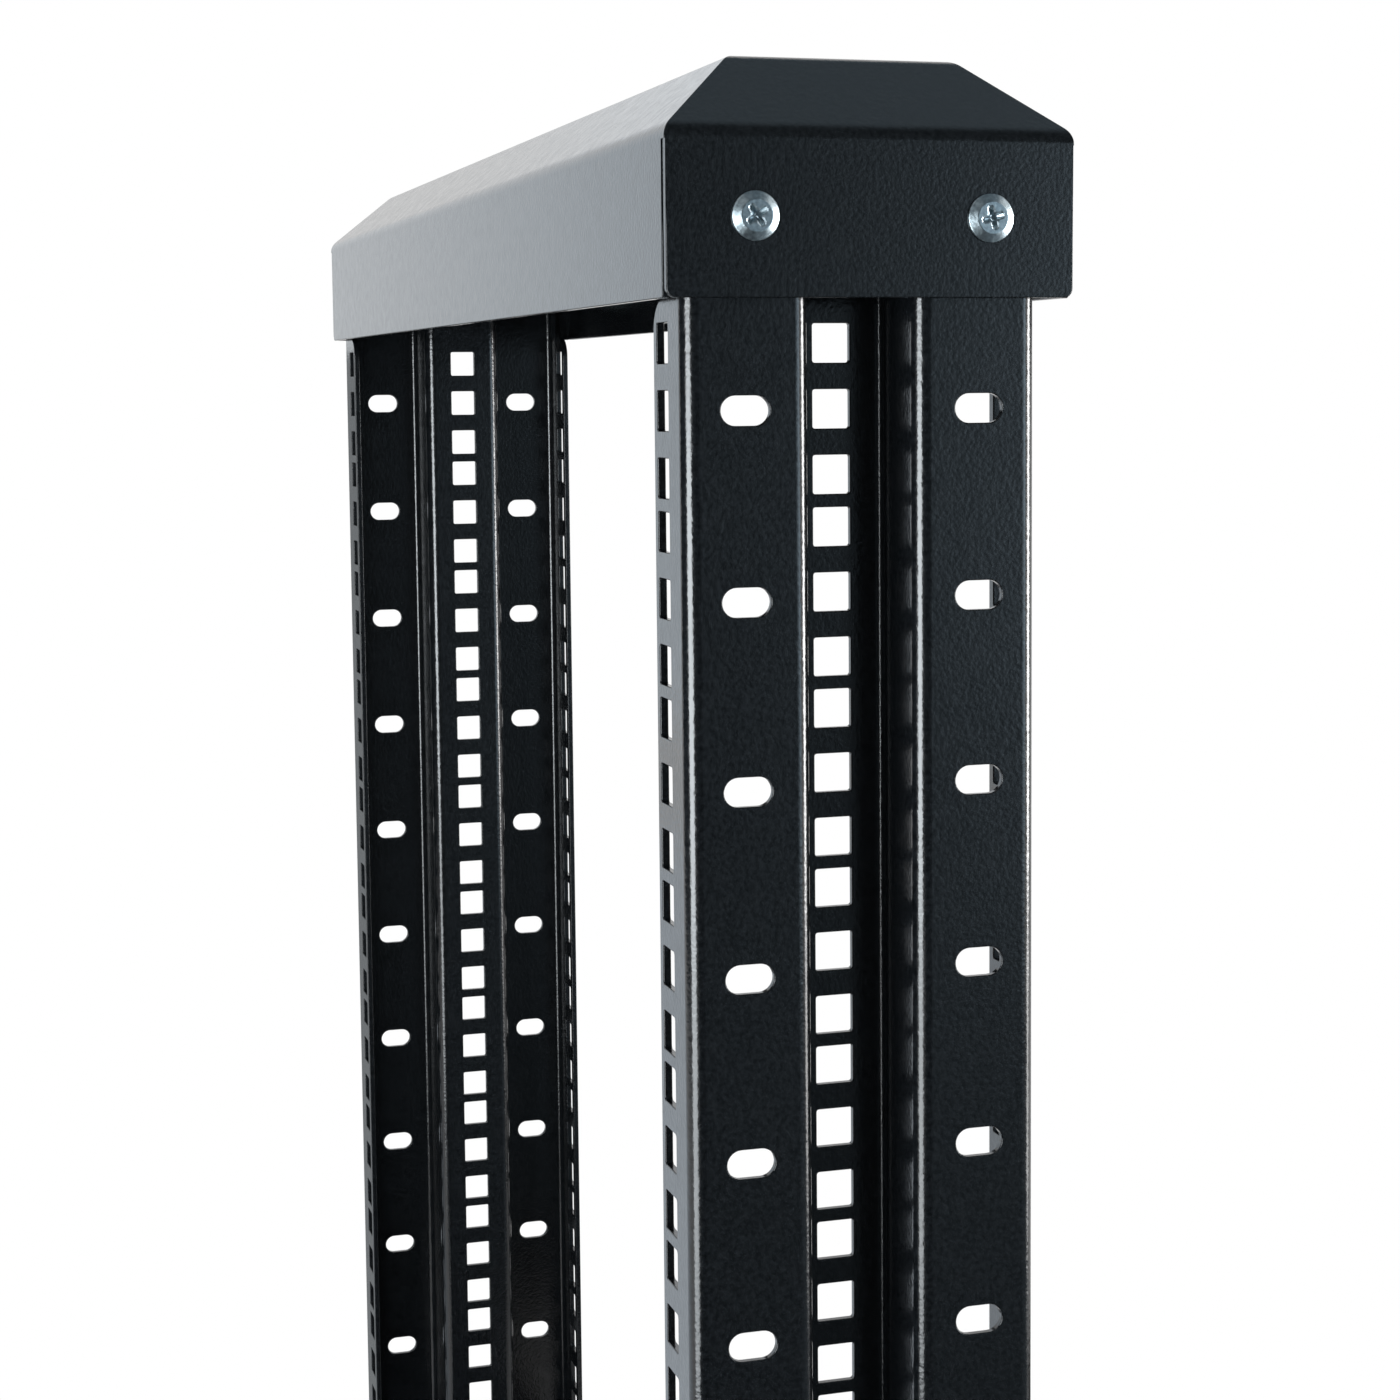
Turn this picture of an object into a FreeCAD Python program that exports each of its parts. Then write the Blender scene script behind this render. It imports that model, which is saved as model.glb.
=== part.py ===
"""Four-post open frame rack: two perforated portals on a pair of base rails.

Each portal is two roll-formed uprights, a hipped top cap and a base sill.
Millimetres; +X to the right, -Y to the front, +Z up; the origin is on the
floor under the middle of the rack.
"""
import FreeCAD
import Part
import math
import os

# Sides of the rounds and of the bends, which repeat many times
ROUND_SIDES = 8
PAD_SIDES = 12
BEND_SIDES = 2

# Rack height and plan
RACK_UNITS = 11
RAIL_LENGTH = 800.0
PORTAL_INSET = 100.0
FRAME_WIDTH = 500.0

# Hole pattern of one rack unit, its columns set in from the free edges of the flanges
UNIT = 44.45
HOLE_STEP = 15.875
HOLE_EDGE_INSET = 7.55
SQUARE_HOLE = 9.5

# Upright: one roll-formed sheet
UPRIGHT_DEPTH = 88.0
UPRIGHT_FLANGE = 25.0
UPRIGHT_SHEET = 2.0
UPRIGHT_BEND = 2.0
GROOVE_WIDTH = 26.0
FLANGE_END = 10.5
FLANGE_END_RADIUS = 8.0
UPRIGHT_TAIL = 44.0

# Oblong slots of the side faces
SLOT_SPACING = 58.0
SLOT_LENGTH = 12.0
SLOT_WIDTH = 7.0

# Folded sheets of the cap, the sill and the rail
FOLD_SHEET = 2.0
FOLD_BEND = 2.0
SEAM_GAP = 0.8
TAB_CORNER_RADIUS = 3.5
RIM_OVERLAP = 0.5
END_SCREW_HOLE = 6.6

# Top cap, pushed in from the middle of its portal as far as the slots allow
CAP_DEPTH = 101.0
CAP_WALL = 38.5
CAP_SLOPE_RUN = 22.0
CAP_SLOPE_RISE = 19.0
CAP_SETBACK = 2.0

# Base rails
RAIL_WIDTH = 60.0
RAIL_HEIGHT = 40.0
RAIL_CLEARANCE = 15.0
RAIL_BOLT_SPACING = 50.0
RAIL_BOLT_INSET = 45.0
RAIL_BOLT_HOLE = 9.0

# Levelling feet
FOOT_INSET = 25.0
PAD_DIAMETER = 40.0
PAD_RIM = 4.0
PAD_HEIGHT = 14.0
PAD_BOSS_DIAMETER = 18.0
STUD_DIAMETER = 10.0
STUD_SEAT_DEPTH = 8.0
STUD_STANDOUT = 12.0
STUD_FIT = 0.15
STUD_HOLE = 11.0
NUT_WIDTH = 17.0
NUT_HEIGHT = 8.0

# Heights from the floor up
RAIL_TOP = RAIL_CLEARANCE + RAIL_HEIGHT
NUT_BOTTOM = RAIL_TOP - FOLD_SHEET - NUT_HEIGHT
UPRIGHT_BOTTOM = RAIL_TOP + FOLD_SHEET
LOWEST_HOLE = UPRIGHT_BOTTOM + UPRIGHT_TAIL
TOP_HOLE = LOWEST_HOLE + RACK_UNITS * UNIT - (UNIT - 2 * HOLE_STEP)
UPRIGHT_TOP = TOP_HOLE + UPRIGHT_TAIL

# Plan places shared by several pieces
UPRIGHT_FACE = FRAME_WIDTH / 2
UPRIGHT_INNER = UPRIGHT_FACE - UPRIGHT_FLANGE
HOLE_COLUMN = UPRIGHT_INNER + HOLE_EDGE_INSET
PORTAL_Y = RAIL_LENGTH / 2 - PORTAL_INSET
FOLD_LENGTH = FRAME_WIDTH + 2 * FOLD_SHEET
RAIL_CENTRE = (FOLD_LENGTH - RAIL_WIDTH) / 2
RAIL_BOLT_X = FOLD_LENGTH / 2 - RAIL_BOLT_INSET
FOOT_Y = RAIL_LENGTH / 2 - FOOT_INSET

UP = FreeCAD.Vector(0, 0, 1)
ORIGIN = FreeCAD.Vector(0, 0, 0)


def offset_line(points, distance):
    """Move an open line of points to its left by a distance."""
    moved = []
    for index, point in enumerate(points):
        before = points[max(index - 1, 0)]
        after = points[min(index + 1, len(points) - 1)]
        normals = []
        for start, end in ((before, point), (point, after)):
            step = end - start
            if step.Length > 0:
                step.normalize()
                normals.append(FreeCAD.Vector(-step.y, step.x, 0))
        first, last = normals[0], normals[-1]
        mitre = (first + last) / (1 + first.dot(last))
        moved.append(point + mitre * distance)
    return moved


def rounded_line(points, left_radius, right_radius):
    """An open line of points with each bend drawn as a few chords of its arc."""
    line = [points[0]]
    for before, corner, after in zip(points, points[1:], points[2:]):
        arriving = (corner - before).normalize()
        leaving = (after - corner).normalize()
        turn = arriving.getAngle(leaving)
        inward = (leaving - arriving).normalize()
        is_left = arriving.cross(leaving).z > 0
        radius = left_radius if is_left else right_radius
        centre = corner + inward * (radius / math.cos(turn / 2))
        for chord in range(BEND_SIDES + 1):
            angle = turn * (chord / BEND_SIDES - 0.5)
            across = (arriving + leaving).normalize()
            line.append(centre - inward * (radius * math.cos(angle)) + across * (radius * math.sin(angle)))
    line.append(points[-1])
    return line


def polygon_face(points):
    """Flat face inside a closed outline of points."""
    return Part.Face(Part.makePolygon(points + points[:1]))


def folded_section(face_line, sheet, bend):
    """Section of a folded sheet that lies to the left of one of its face lines."""
    front = rounded_line(face_line, bend + sheet, bend)
    back = rounded_line(offset_line(face_line, sheet), bend, bend + sheet)
    return polygon_face(front + back[::-1])


def box_between(low, high):
    """Box from its lowest to its highest corner."""
    size = high - low
    return Part.makeBox(size.x, size.y, size.z, low)


def hole_heights():
    """Heights of the square hole rows, from the lowest up."""
    heights = []
    for unit in range(RACK_UNITS):
        for row in range(3):
            heights.append(LOWEST_HOLE + unit * UNIT + row * HOLE_STEP)
    return heights


def slot_heights():
    """Heights of the slot rows; the first and the last take the end screws."""
    centre_row = LOWEST_HOLE + HOLE_STEP
    return [centre_row + unit * UNIT for unit in range(-1, RACK_UNITS + 1)]


def upright_section():
    """Section of the right-hand upright, its back open towards the equipment."""
    groove_face = UPRIGHT_INNER + UPRIGHT_SHEET
    half_depth = UPRIGHT_DEPTH / 2
    half_groove = GROOVE_WIDTH / 2
    face_line = [
        FreeCAD.Vector(UPRIGHT_INNER, -half_depth, 0),
        FreeCAD.Vector(UPRIGHT_FACE, -half_depth, 0),
        FreeCAD.Vector(UPRIGHT_FACE, -half_groove, 0),
        FreeCAD.Vector(groove_face, -half_groove, 0),
        FreeCAD.Vector(groove_face, half_groove, 0),
        FreeCAD.Vector(UPRIGHT_FACE, half_groove, 0),
        FreeCAD.Vector(UPRIGHT_FACE, half_depth, 0),
        FreeCAD.Vector(UPRIGHT_INNER, half_depth, 0),
    ]
    return folded_section(face_line, UPRIGHT_SHEET, UPRIGHT_BEND)


def square_hole_cutters():
    """Square prisms for the groove column and for both flange columns."""
    half = SQUARE_HOLE / 2
    flange_middle = (UPRIGHT_DEPTH - UPRIGHT_SHEET) / 2
    groove_middle = UPRIGHT_INNER + UPRIGHT_SHEET / 2
    cutters = []
    for height in hole_heights():
        for x, y, reach_x, reach_y in (
            (HOLE_COLUMN, -flange_middle, half, UPRIGHT_SHEET),
            (HOLE_COLUMN, flange_middle, half, UPRIGHT_SHEET),
            (groove_middle, 0.0, UPRIGHT_SHEET, half),
        ):
            centre = FreeCAD.Vector(x, y, height)
            reach = FreeCAD.Vector(reach_x, reach_y, half)
            cutters.append(box_between(centre - reach, centre + reach))
    return cutters


def round_corners(diameter, length=0.0, sides=ROUND_SIDES):
    """Corners of a few-sided round, drawn out into an oblong if it has a length."""
    corner_radius = diameter / 2 / math.cos(math.pi / sides)
    reach = max(length - diameter, 0.0) / 2
    corners = []
    for index in range(sides):
        angle = (2 * index + 1) * math.pi / sides
        along = corner_radius * math.cos(angle)
        corners.append((along + math.copysign(reach, along), corner_radius * math.sin(angle)))
    return corners


def prism_along_x(corners, centre, length):
    """Prism from a centre point along +X; the corners give Y and Z."""
    outline = polygon_face([centre + FreeCAD.Vector(0, y, z) for y, z in corners])
    return outline.extrude(FreeCAD.Vector(length, 0, 0))


def prism_along_z(corners, centre, length):
    """Prism from a centre point along +Z; the corners give X and Y."""
    outline = polygon_face([centre + FreeCAD.Vector(x, y, 0) for x, y in corners])
    return outline.extrude(UP * length)


def slot_cutters():
    """Oblong prisms for both side faces, long in the depth of the rack."""
    corners = round_corners(SLOT_WIDTH, SLOT_LENGTH)
    start_x = UPRIGHT_FACE - 2 * UPRIGHT_SHEET
    cutters = []
    for height in slot_heights():
        for side in (-1, 1):
            start = FreeCAD.Vector(start_x, side * SLOT_SPACING / 2, height)
            cutters.append(prism_along_x(corners, start, 3 * UPRIGHT_SHEET))
    return cutters


def flange_end_cutters():
    """Prisms that end both flanges short of the upright, with a rounded corner."""
    right = UPRIGHT_FACE - UPRIGHT_BEND - UPRIGHT_SHEET
    left = UPRIGHT_INNER - UPRIGHT_SHEET
    depth = UPRIGHT_DEPTH / 2 + UPRIGHT_SHEET
    inner_depth = UPRIGHT_DEPTH / 2 - UPRIGHT_BEND - UPRIGHT_SHEET
    radius = FLANGE_END_RADIUS
    cutters = []
    for end, beyond, way in (
        (LOWEST_HOLE - FLANGE_END, UPRIGHT_BOTTOM - UPRIGHT_SHEET, 1),
        (TOP_HOLE + FLANGE_END, UPRIGHT_TOP + UPRIGHT_SHEET, -1),
    ):
        corner = rounded_line([
            FreeCAD.Vector(right, end, 0),
            FreeCAD.Vector(UPRIGHT_INNER, end, 0),
            FreeCAD.Vector(UPRIGHT_INNER, end + way * radius, 0),
            FreeCAD.Vector(left, end + way * radius, 0),
        ], radius, radius)
        outline = [(point.x, point.y) for point in corner]
        outline += [(left, beyond), (right, beyond)]
        for start, length in ((-depth, depth - inner_depth), (inner_depth, depth - inner_depth)):
            face = polygon_face([FreeCAD.Vector(x, start, z) for x, z in outline])
            cutters.append(face.extrude(FreeCAD.Vector(0, length, 0)))
    return cutters


def right_upright():
    """The right-hand upright of a portal at the middle of the rack."""
    section = upright_section()
    section.translate(UP * UPRIGHT_BOTTOM)
    blank = section.extrude(UP * (UPRIGHT_TOP - UPRIGHT_BOTTOM))
    cutters = square_hole_cutters() + slot_cutters() + flange_end_cutters()
    return blank.cut(Part.makeCompound(cutters))


def hood_line(width, wall, slope_run, slope_rise):
    """Outside line of a hood's section, from its left rim over to its right rim."""
    half = width / 2
    rise = [FreeCAD.Vector(half, 0, 0), FreeCAD.Vector(half, wall, 0)]
    if slope_run > 0:
        rise.append(FreeCAD.Vector(half - slope_run, wall + slope_rise, 0))
    mirrored = [FreeCAD.Vector(-point.x, point.y, 0) for point in reversed(rise)]
    return rise + mirrored


def hood_prism(line, bend_radius, length):
    """Filled prism of a hood's section, standing on its rim, along X."""
    prism = polygon_face(rounded_line(line, bend_radius, bend_radius)).extrude(UP * length)
    prism.translate(UP * (-length / 2))
    prism.rotate(ORIGIN, FreeCAD.Vector(1, 1, 1), 120)
    return prism


def folded_hood(length, depth, wall, slope_run=0.0, slope_rise=0.0):
    """Open-bottomed folded shell, longer along X, with mitred bends."""
    end_line = hood_line(length, wall, slope_run, slope_rise)
    long_line = hood_line(depth, wall, slope_run, slope_rise)
    outside = None
    inside = None
    for shift, radius in ((0.0, FOLD_BEND + FOLD_SHEET), (FOLD_SHEET, FOLD_BEND)):
        across = hood_prism(offset_line(long_line, shift), radius, length)
        along = hood_prism(offset_line(end_line, shift), radius, depth)
        along.rotate(ORIGIN, UP, 90)
        block = across.common(along)
        if shift == 0.0:
            outside = block
        else:
            inside = block
    return outside.cut(inside)


def seam_cutters(length, depth, wall):
    """Thin slits that part the end tabs from the long walls, with rounded tab corners."""
    seam_top = wall - FOLD_BEND - FOLD_SHEET
    wall_face = depth / 2 - FOLD_SHEET
    tab_edge = wall_face - SEAM_GAP
    tab_end = rounded_line([
        FreeCAD.Vector(tab_edge - 2 * TAB_CORNER_RADIUS, 0, 0),
        FreeCAD.Vector(tab_edge, 0, 0),
        FreeCAD.Vector(tab_edge, seam_top, 0),
    ], TAB_CORNER_RADIUS, TAB_CORNER_RADIUS)
    outline = [(point.x, point.y) for point in tab_end]
    outline += [(wall_face, seam_top), (wall_face, -FOLD_SHEET), (outline[0][0], -FOLD_SHEET)]
    cutters = []
    for end in (-1, 1):
        for side in (-1, 1):
            corners = [(side * y, z) for y, z in outline]
            start = FreeCAD.Vector(end * length / 2 - FOLD_SHEET, 0, 0)
            cutters.append(prism_along_x(corners, start, 2 * FOLD_SHEET))
    return cutters


def end_screw_cutters(height):
    """Prisms through both end tabs of a cap or a sill, for its screws."""
    corners = round_corners(END_SCREW_HOLE)
    cutters = []
    for side in (-1, 1):
        start = FreeCAD.Vector(-FOLD_LENGTH, side * SLOT_SPACING / 2, height)
        cutters.append(prism_along_x(corners, start, 2 * FOLD_LENGTH))
    return cutters


def top_cap():
    """Hipped cap over the upright tops."""
    rim = TOP_HOLE + FLANGE_END - RIM_OVERLAP
    cap = folded_hood(FOLD_LENGTH, CAP_DEPTH, CAP_WALL, CAP_SLOPE_RUN, CAP_SLOPE_RISE)
    cap = cap.cut(Part.makeCompound(seam_cutters(FOLD_LENGTH, CAP_DEPTH, CAP_WALL)))
    cap.translate(UP * rim)
    screws = end_screw_cutters(slot_heights()[-1])
    return cap.cut(Part.makeCompound(screws))


def sill_bolt_places():
    """Bolt centres where one sill crosses both rails, seen from above."""
    places = []
    for side_x in (-1, 1):
        for side_y in (-1, 1):
            places.append((side_x * RAIL_BOLT_X, side_y * RAIL_BOLT_SPACING / 2))
    return places


def vertical_holes(places, diameter):
    """Upright prisms through everything at several places."""
    corners = round_corners(diameter)
    return [prism_along_z(corners, FreeCAD.Vector(x, y, 0), 2 * RAIL_TOP) for x, y in places]


def base_sill():
    """Tray that the upright feet stand in, its rim level with the flange ends."""
    rim = LOWEST_HOLE - FLANGE_END + RIM_OVERLAP
    sill = folded_hood(FOLD_LENGTH, CAP_DEPTH, rim - RAIL_TOP)
    sill.rotate(ORIGIN, FreeCAD.Vector(1, 0, 0), 180)
    sill.translate(UP * rim)
    cutters = end_screw_cutters(slot_heights()[0])
    cutters += vertical_holes(sill_bolt_places(), RAIL_BOLT_HOLE)
    return sill.cut(Part.makeCompound(cutters))


def right_rail():
    """Right-hand base rail, a downward-open channel with closed ends."""
    rail = folded_hood(RAIL_LENGTH, RAIL_WIDTH, RAIL_HEIGHT)
    rail.rotate(ORIGIN, UP, 90)
    rail.translate(FreeCAD.Vector(RAIL_CENTRE, 0, RAIL_CLEARANCE))
    bolts = []
    for portal_y in (-PORTAL_Y, PORTAL_Y):
        bolts.extend((x, y + portal_y) for x, y in sill_bolt_places() if x > 0)
    feet = [(RAIL_CENTRE, -FOOT_Y), (RAIL_CENTRE, FOOT_Y)]
    cutters = vertical_holes(bolts, RAIL_BOLT_HOLE) + vertical_holes(feet, STUD_HOLE)
    return rail.cut(Part.makeCompound(cutters))


def foot_pad():
    """Round floor pad that tapers to a boss with a blind seat for the stud."""
    taper_top = PAD_HEIGHT - PAD_RIM / 2
    rings = []
    for diameter, height in (
        (PAD_DIAMETER, 0.0),
        (PAD_DIAMETER, PAD_RIM),
        (PAD_BOSS_DIAMETER, taper_top),
        (PAD_BOSS_DIAMETER, PAD_HEIGHT),
    ):
        corners = round_corners(diameter, sides=PAD_SIDES)
        rings.append([FreeCAD.Vector(x, y, height) for x, y in corners])
    faces = [polygon_face(rings[0]), polygon_face(rings[-1])]
    for lower, upper in zip(rings, rings[1:]):
        for index in range(PAD_SIDES):
            faces.append(polygon_face([lower[index - 1], lower[index], upper[index], upper[index - 1]]))
    pad = Part.Solid(Part.Shell(faces))
    seat = prism_along_z(
        round_corners(STUD_DIAMETER + 2 * STUD_FIT), UP * (PAD_HEIGHT - STUD_SEAT_DEPTH), PAD_HEIGHT)
    return pad.cut(seat)


def foot_stud():
    """Levelling stud from the pad's seat up through the rail."""
    bottom = PAD_HEIGHT - STUD_SEAT_DEPTH
    top = RAIL_TOP + STUD_STANDOUT
    return prism_along_z(round_corners(STUD_DIAMETER), UP * bottom, top - bottom)


def foot_nut():
    """Hexagon nut under the rail, which carries the rack on the stud."""
    nut = prism_along_z(round_corners(NUT_WIDTH, sides=6), UP * NUT_BOTTOM, NUT_HEIGHT)
    bore = prism_along_z(round_corners(STUD_DIAMETER + 2 * STUD_FIT), ORIGIN, RAIL_TOP)
    return nut.cut(bore)


def placed(shape, x, y, turned_round=False):
    """Copy of a shape at a place in plan, turned to face the other way if asked."""
    copy = shape.copy()
    if turned_round:
        copy.rotate(ORIGIN, UP, 180)
    copy.translate(FreeCAD.Vector(x, y, 0))
    return copy


def build_rack():
    """All pieces of the rack by name."""
    pieces = {}
    upright = right_upright()
    cap = top_cap()
    sill = base_sill()
    for portal, way in (("front", -1), ("rear", 1)):
        portal_y = way * PORTAL_Y
        pieces[f"upright_{portal}_right"] = placed(upright, 0, portal_y)
        pieces[f"upright_{portal}_left"] = placed(upright, 0, portal_y, turned_round=True)
        pieces[f"top_cap_{portal}"] = placed(cap, 0, portal_y - way * CAP_SETBACK)
        pieces[f"base_sill_{portal}"] = placed(sill, 0, portal_y)
    rail = right_rail()
    pieces["base_rail_right"] = rail
    pieces["base_rail_left"] = placed(rail, 0, 0, turned_round=True)
    foot = {"pad": foot_pad(), "stud": foot_stud(), "nut": foot_nut()}
    for portal, way in (("front", -1), ("rear", 1)):
        for side, across in (("left", -1), ("right", 1)):
            for name, shape in foot.items():
                pieces[f"foot_{name}_{portal}_{side}"] = placed(
                    shape, across * RAIL_CENTRE, way * FOOT_Y)
    return pieces


os.makedirs("parts", exist_ok=True)
for node, solid in build_rack().items():
    solid.exportStep(f"parts/{node}.step")
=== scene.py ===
"""Looks of the four-post open frame rack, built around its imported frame.

Each folded sheet is meshed as the sheet it is: flat panels with their punched
holes, bends as arcs and cut edges that the coat has eased. Metres; +X to the
right, -Y to the front, +Z up; the origin is on the floor under the middle.
"""

import logging
import math
from dataclasses import dataclass
from enum import Enum
from typing import Any, Iterable, Sequence

import bpy
from mathutils import Matrix, Vector
from mathutils.geometry import delaunay_2d_cdt


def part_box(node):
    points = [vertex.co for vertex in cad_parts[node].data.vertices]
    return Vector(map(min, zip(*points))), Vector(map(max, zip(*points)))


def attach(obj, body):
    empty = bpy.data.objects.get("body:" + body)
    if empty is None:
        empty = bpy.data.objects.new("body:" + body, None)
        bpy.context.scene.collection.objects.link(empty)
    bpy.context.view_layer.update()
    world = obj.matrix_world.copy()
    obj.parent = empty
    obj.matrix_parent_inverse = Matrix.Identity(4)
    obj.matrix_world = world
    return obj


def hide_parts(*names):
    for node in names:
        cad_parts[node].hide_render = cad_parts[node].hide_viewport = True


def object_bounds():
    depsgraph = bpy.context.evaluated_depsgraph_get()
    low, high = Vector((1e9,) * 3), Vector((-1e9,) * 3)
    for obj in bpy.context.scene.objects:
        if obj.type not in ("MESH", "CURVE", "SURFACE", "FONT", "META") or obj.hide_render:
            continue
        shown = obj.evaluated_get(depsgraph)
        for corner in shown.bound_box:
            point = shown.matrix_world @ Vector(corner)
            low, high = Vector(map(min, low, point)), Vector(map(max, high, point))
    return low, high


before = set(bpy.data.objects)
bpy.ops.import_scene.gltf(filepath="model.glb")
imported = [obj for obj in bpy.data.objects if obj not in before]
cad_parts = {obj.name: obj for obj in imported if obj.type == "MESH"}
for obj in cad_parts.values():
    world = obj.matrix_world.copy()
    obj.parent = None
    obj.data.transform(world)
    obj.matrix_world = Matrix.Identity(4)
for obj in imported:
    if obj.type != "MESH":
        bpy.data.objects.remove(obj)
CAD_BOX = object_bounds()

LOG = logging.getLogger("rack")
BODY = "root"
PHOTO_SIDE = 1400.0
UP = Vector((0.0, 0.0, 1.0))
RIGHT = Vector((1.0, 0.0, 0.0))
BACK = Vector((0.0, 1.0, 0.0))

# How outlines are filled, leaving out their holes, and how near two points fall together
TRIANGLES_INSIDE = 2
MERGE = 1e-7

# How far the coat eases a cut edge
EASE = 0.00030

# Steps round a quarter of each kind of round
SQUARE_STEPS = 3
SLOT_STEPS = 7
ROUND_STEPS = 6
FLANGE_STEPS = 8

# Hexagons: steps along a flat, the turned circle as a share of the size across the flats,
# and the slope of the cone that turns the corners down
HEX_STEPS = 8
HEX_TURNED = 0.95
HEX_CONE = math.radians(30)

# The usual lowest and highest of a noise
NOISE_SPAN = (0.3, 0.7)

Pair = tuple[float, float]
Triple = tuple[float, float, float]
# Points of a ring by number, and the normal at each
Ring = tuple[Sequence[int], Sequence[Vector]]
# Radius or inset and height of a ring, and the outward and upward parts of its normal
Row = tuple[float, float, float, float]
# Points up a sheet's outer face, and those up its inner face
Column = tuple[list[int], list[int]]


class Portal(Enum):
    """The two portals of the rack."""

    FRONT = "front"
    REAR = "rear"


class Side(Enum):
    """The two sides of the rack, seen from the front."""

    LEFT = "left"
    RIGHT = "right"


class HoodCorner(Enum):
    """How the walls of a folded sheet meet at its corners."""

    OPEN_SEAM = "open seam"
    CLOSED = "closed"


def spokes(sides: int) -> list[Vector]:
    """Directions evenly round +Z, from +X on."""
    angles = (2 * math.pi * side / sides for side in range(sides))
    return [Vector((math.cos(angle), math.sin(angle), 0.0)) for angle in angles]


class MeshDraft:
    """A mesh in the making, whose faces carry a normal at each corner."""

    def __init__(self) -> None:
        """Starts with no points and no faces."""
        self.points: list[Vector] = []
        self.faces: list[list[int]] = []
        self.normals: list[list[Vector]] = []

    def point(self, place: Vector) -> int:
        """Adds a point and gives its number."""
        self.points.append(Vector(place))
        return len(self.points) - 1

    def circle(self, radius: float, height: float, sides: int) -> list[int]:
        """Adds a circle of points about +Z and gives their numbers."""
        return [self.point(spoke * radius + UP * height) for spoke in spokes(sides)]

    def face(self, corners: Sequence[int], normals: Sequence[Vector]) -> None:
        """Adds a face, turned to agree with its normals; repeated corners fall together.

        Args:
            corners: Numbers of the points around the face.
            normals: The surface normal at each of them.
        """
        pairs = list(zip(corners, normals))
        kept = [pair for order, pair in enumerate(pairs) if pair[0] != pairs[order - 1][0]]
        if len(kept) < 3:
            return
        facing, wanted = Vector((0.0, 0.0, 0.0)), Vector((0.0, 0.0, 0.0))
        for order, (corner, normal) in enumerate(kept):
            facing += self.points[kept[order - 1][0]].cross(self.points[corner])
            wanted += normal
        if facing.dot(wanted) < 0.0:
            kept.reverse()
        self.faces.append([corner for corner, _ in kept])
        self.normals.append([normal for _, normal in kept])

    def flat_face(self, corners: Sequence[int], normal: Vector) -> None:
        """Adds a face that has one normal all over."""
        self.face(corners, [normal] * len(corners))

    def upward_face(self, corners: Sequence[int]) -> None:
        """Adds a flat face that looks upward.

        Args:
            corners: Numbers of the points around the face.
        """
        start, along, aside = (self.points[corners[order]] for order in (0, 1, -1))
        way = (along - start).cross(aside - start).normalized()
        self.flat_face(corners, way if way.z > 0.0 else -way)

    def ribbon(self, first: Ring, second: Ring, closed: bool = True, skip: Iterable[int] = ()) -> None:
        """Adds a strip of faces between two rings.

        Args:
            first: One ring.
            second: The other ring.
            closed: Whether they close on themselves.
            skip: Steps along them that get no face.
        """
        (near, near_ways), (far, far_ways) = first, second
        left_out = set(skip)
        for step in range(len(near) if closed else len(near) - 1):
            if step in left_out:
                continue
            after = (step + 1) % len(near)
            corners = (near[step], near[after], far[after], far[step])
            self.face(corners, (near_ways[step], near_ways[after], far_ways[after], far_ways[step]))

    def skin(self, rings: Sequence[Ring], closed: bool = True) -> None:
        """Adds the strips from each ring to the next."""
        for first, second in zip(rings, rings[1:]):
            self.ribbon(first, second, closed)

    def patch(self, loops: Sequence[Sequence[int]], normal: Vector) -> None:
        """Fills a flat outline that may have holes.

        Args:
            loops: The outline, then each hole, as numbers of points.
            normal: The normal of the whole patch.
        """
        along = normal.orthogonal().normalized()
        across = normal.cross(along)
        numbers = [number for loop in loops for number in loop]
        spots = [Vector((self.points[n].dot(along), self.points[n].dot(across))) for n in numbers]
        rings: list[list[int]] = []
        start = 0
        for loop in loops:
            rings.append(list(range(start, start + len(loop))))
            start += len(loop)
        filled = delaunay_2d_cdt(spots, [], rings, TRIANGLES_INSIDE, MERGE)
        for triangle in filled[2]:
            self.flat_face([numbers[filled[3][corner][0]] for corner in triangle], normal)

    def extend(self, other: "MeshDraft", place: Matrix) -> None:
        """Adds a copy of another draft at a place.

        Args:
            other: The draft to copy.
            place: A turn and a shift, with no scale.
        """
        start = len(self.points)
        turn = place.to_3x3()
        self.points.extend(place @ point for point in other.points)
        self.faces.extend([corner + start for corner in face] for face in other.faces)
        self.normals.extend([turn @ normal for normal in row] for row in other.normals)

    def piece(self, name: str, place: Matrix = Matrix.Identity(4)) -> bpy.types.Object:
        """Makes the Blender object.

        Args:
            name: The piece's name.
            place: A turn and a shift that put the draft in the rack.

        Returns:
            The new object, in the scene, with its place in its mesh.
        """
        turn = place.to_3x3()
        mesh = bpy.data.meshes.new(name)
        mesh.from_pydata([place @ point for point in self.points], [], self.faces)
        mesh.shade_smooth()
        mesh.normals_split_custom_set([turn @ normal for row in self.normals for normal in row])
        made = bpy.data.objects.new(name, mesh)
        bpy.context.scene.collection.objects.link(made)
        return made


@dataclass(frozen=True)
class SheetPlane:
    """The outer face of a flat panel of sheet metal."""

    origin: Vector
    across: Vector
    up: Vector
    face: Vector

    def at(self, u: float, v: float, depth: float = 0.0) -> Vector:
        """The place at a spot of the panel, at a depth into the sheet."""
        return self.origin + self.across * u + self.up * v - self.face * depth

    def way(self, u: float, v: float) -> Vector:
        """A direction in the panel."""
        return self.across * u + self.up * v


@dataclass(frozen=True)
class EdgePoint:
    """A point of a cut edge, and the way out of the sheet there."""

    u: float
    v: float
    out_u: float
    out_v: float

    def meets(self, other: "EdgePoint") -> bool:
        """Whether two points fall together."""
        return math.hypot(self.u - other.u, self.v - other.v) <= MERGE


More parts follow.
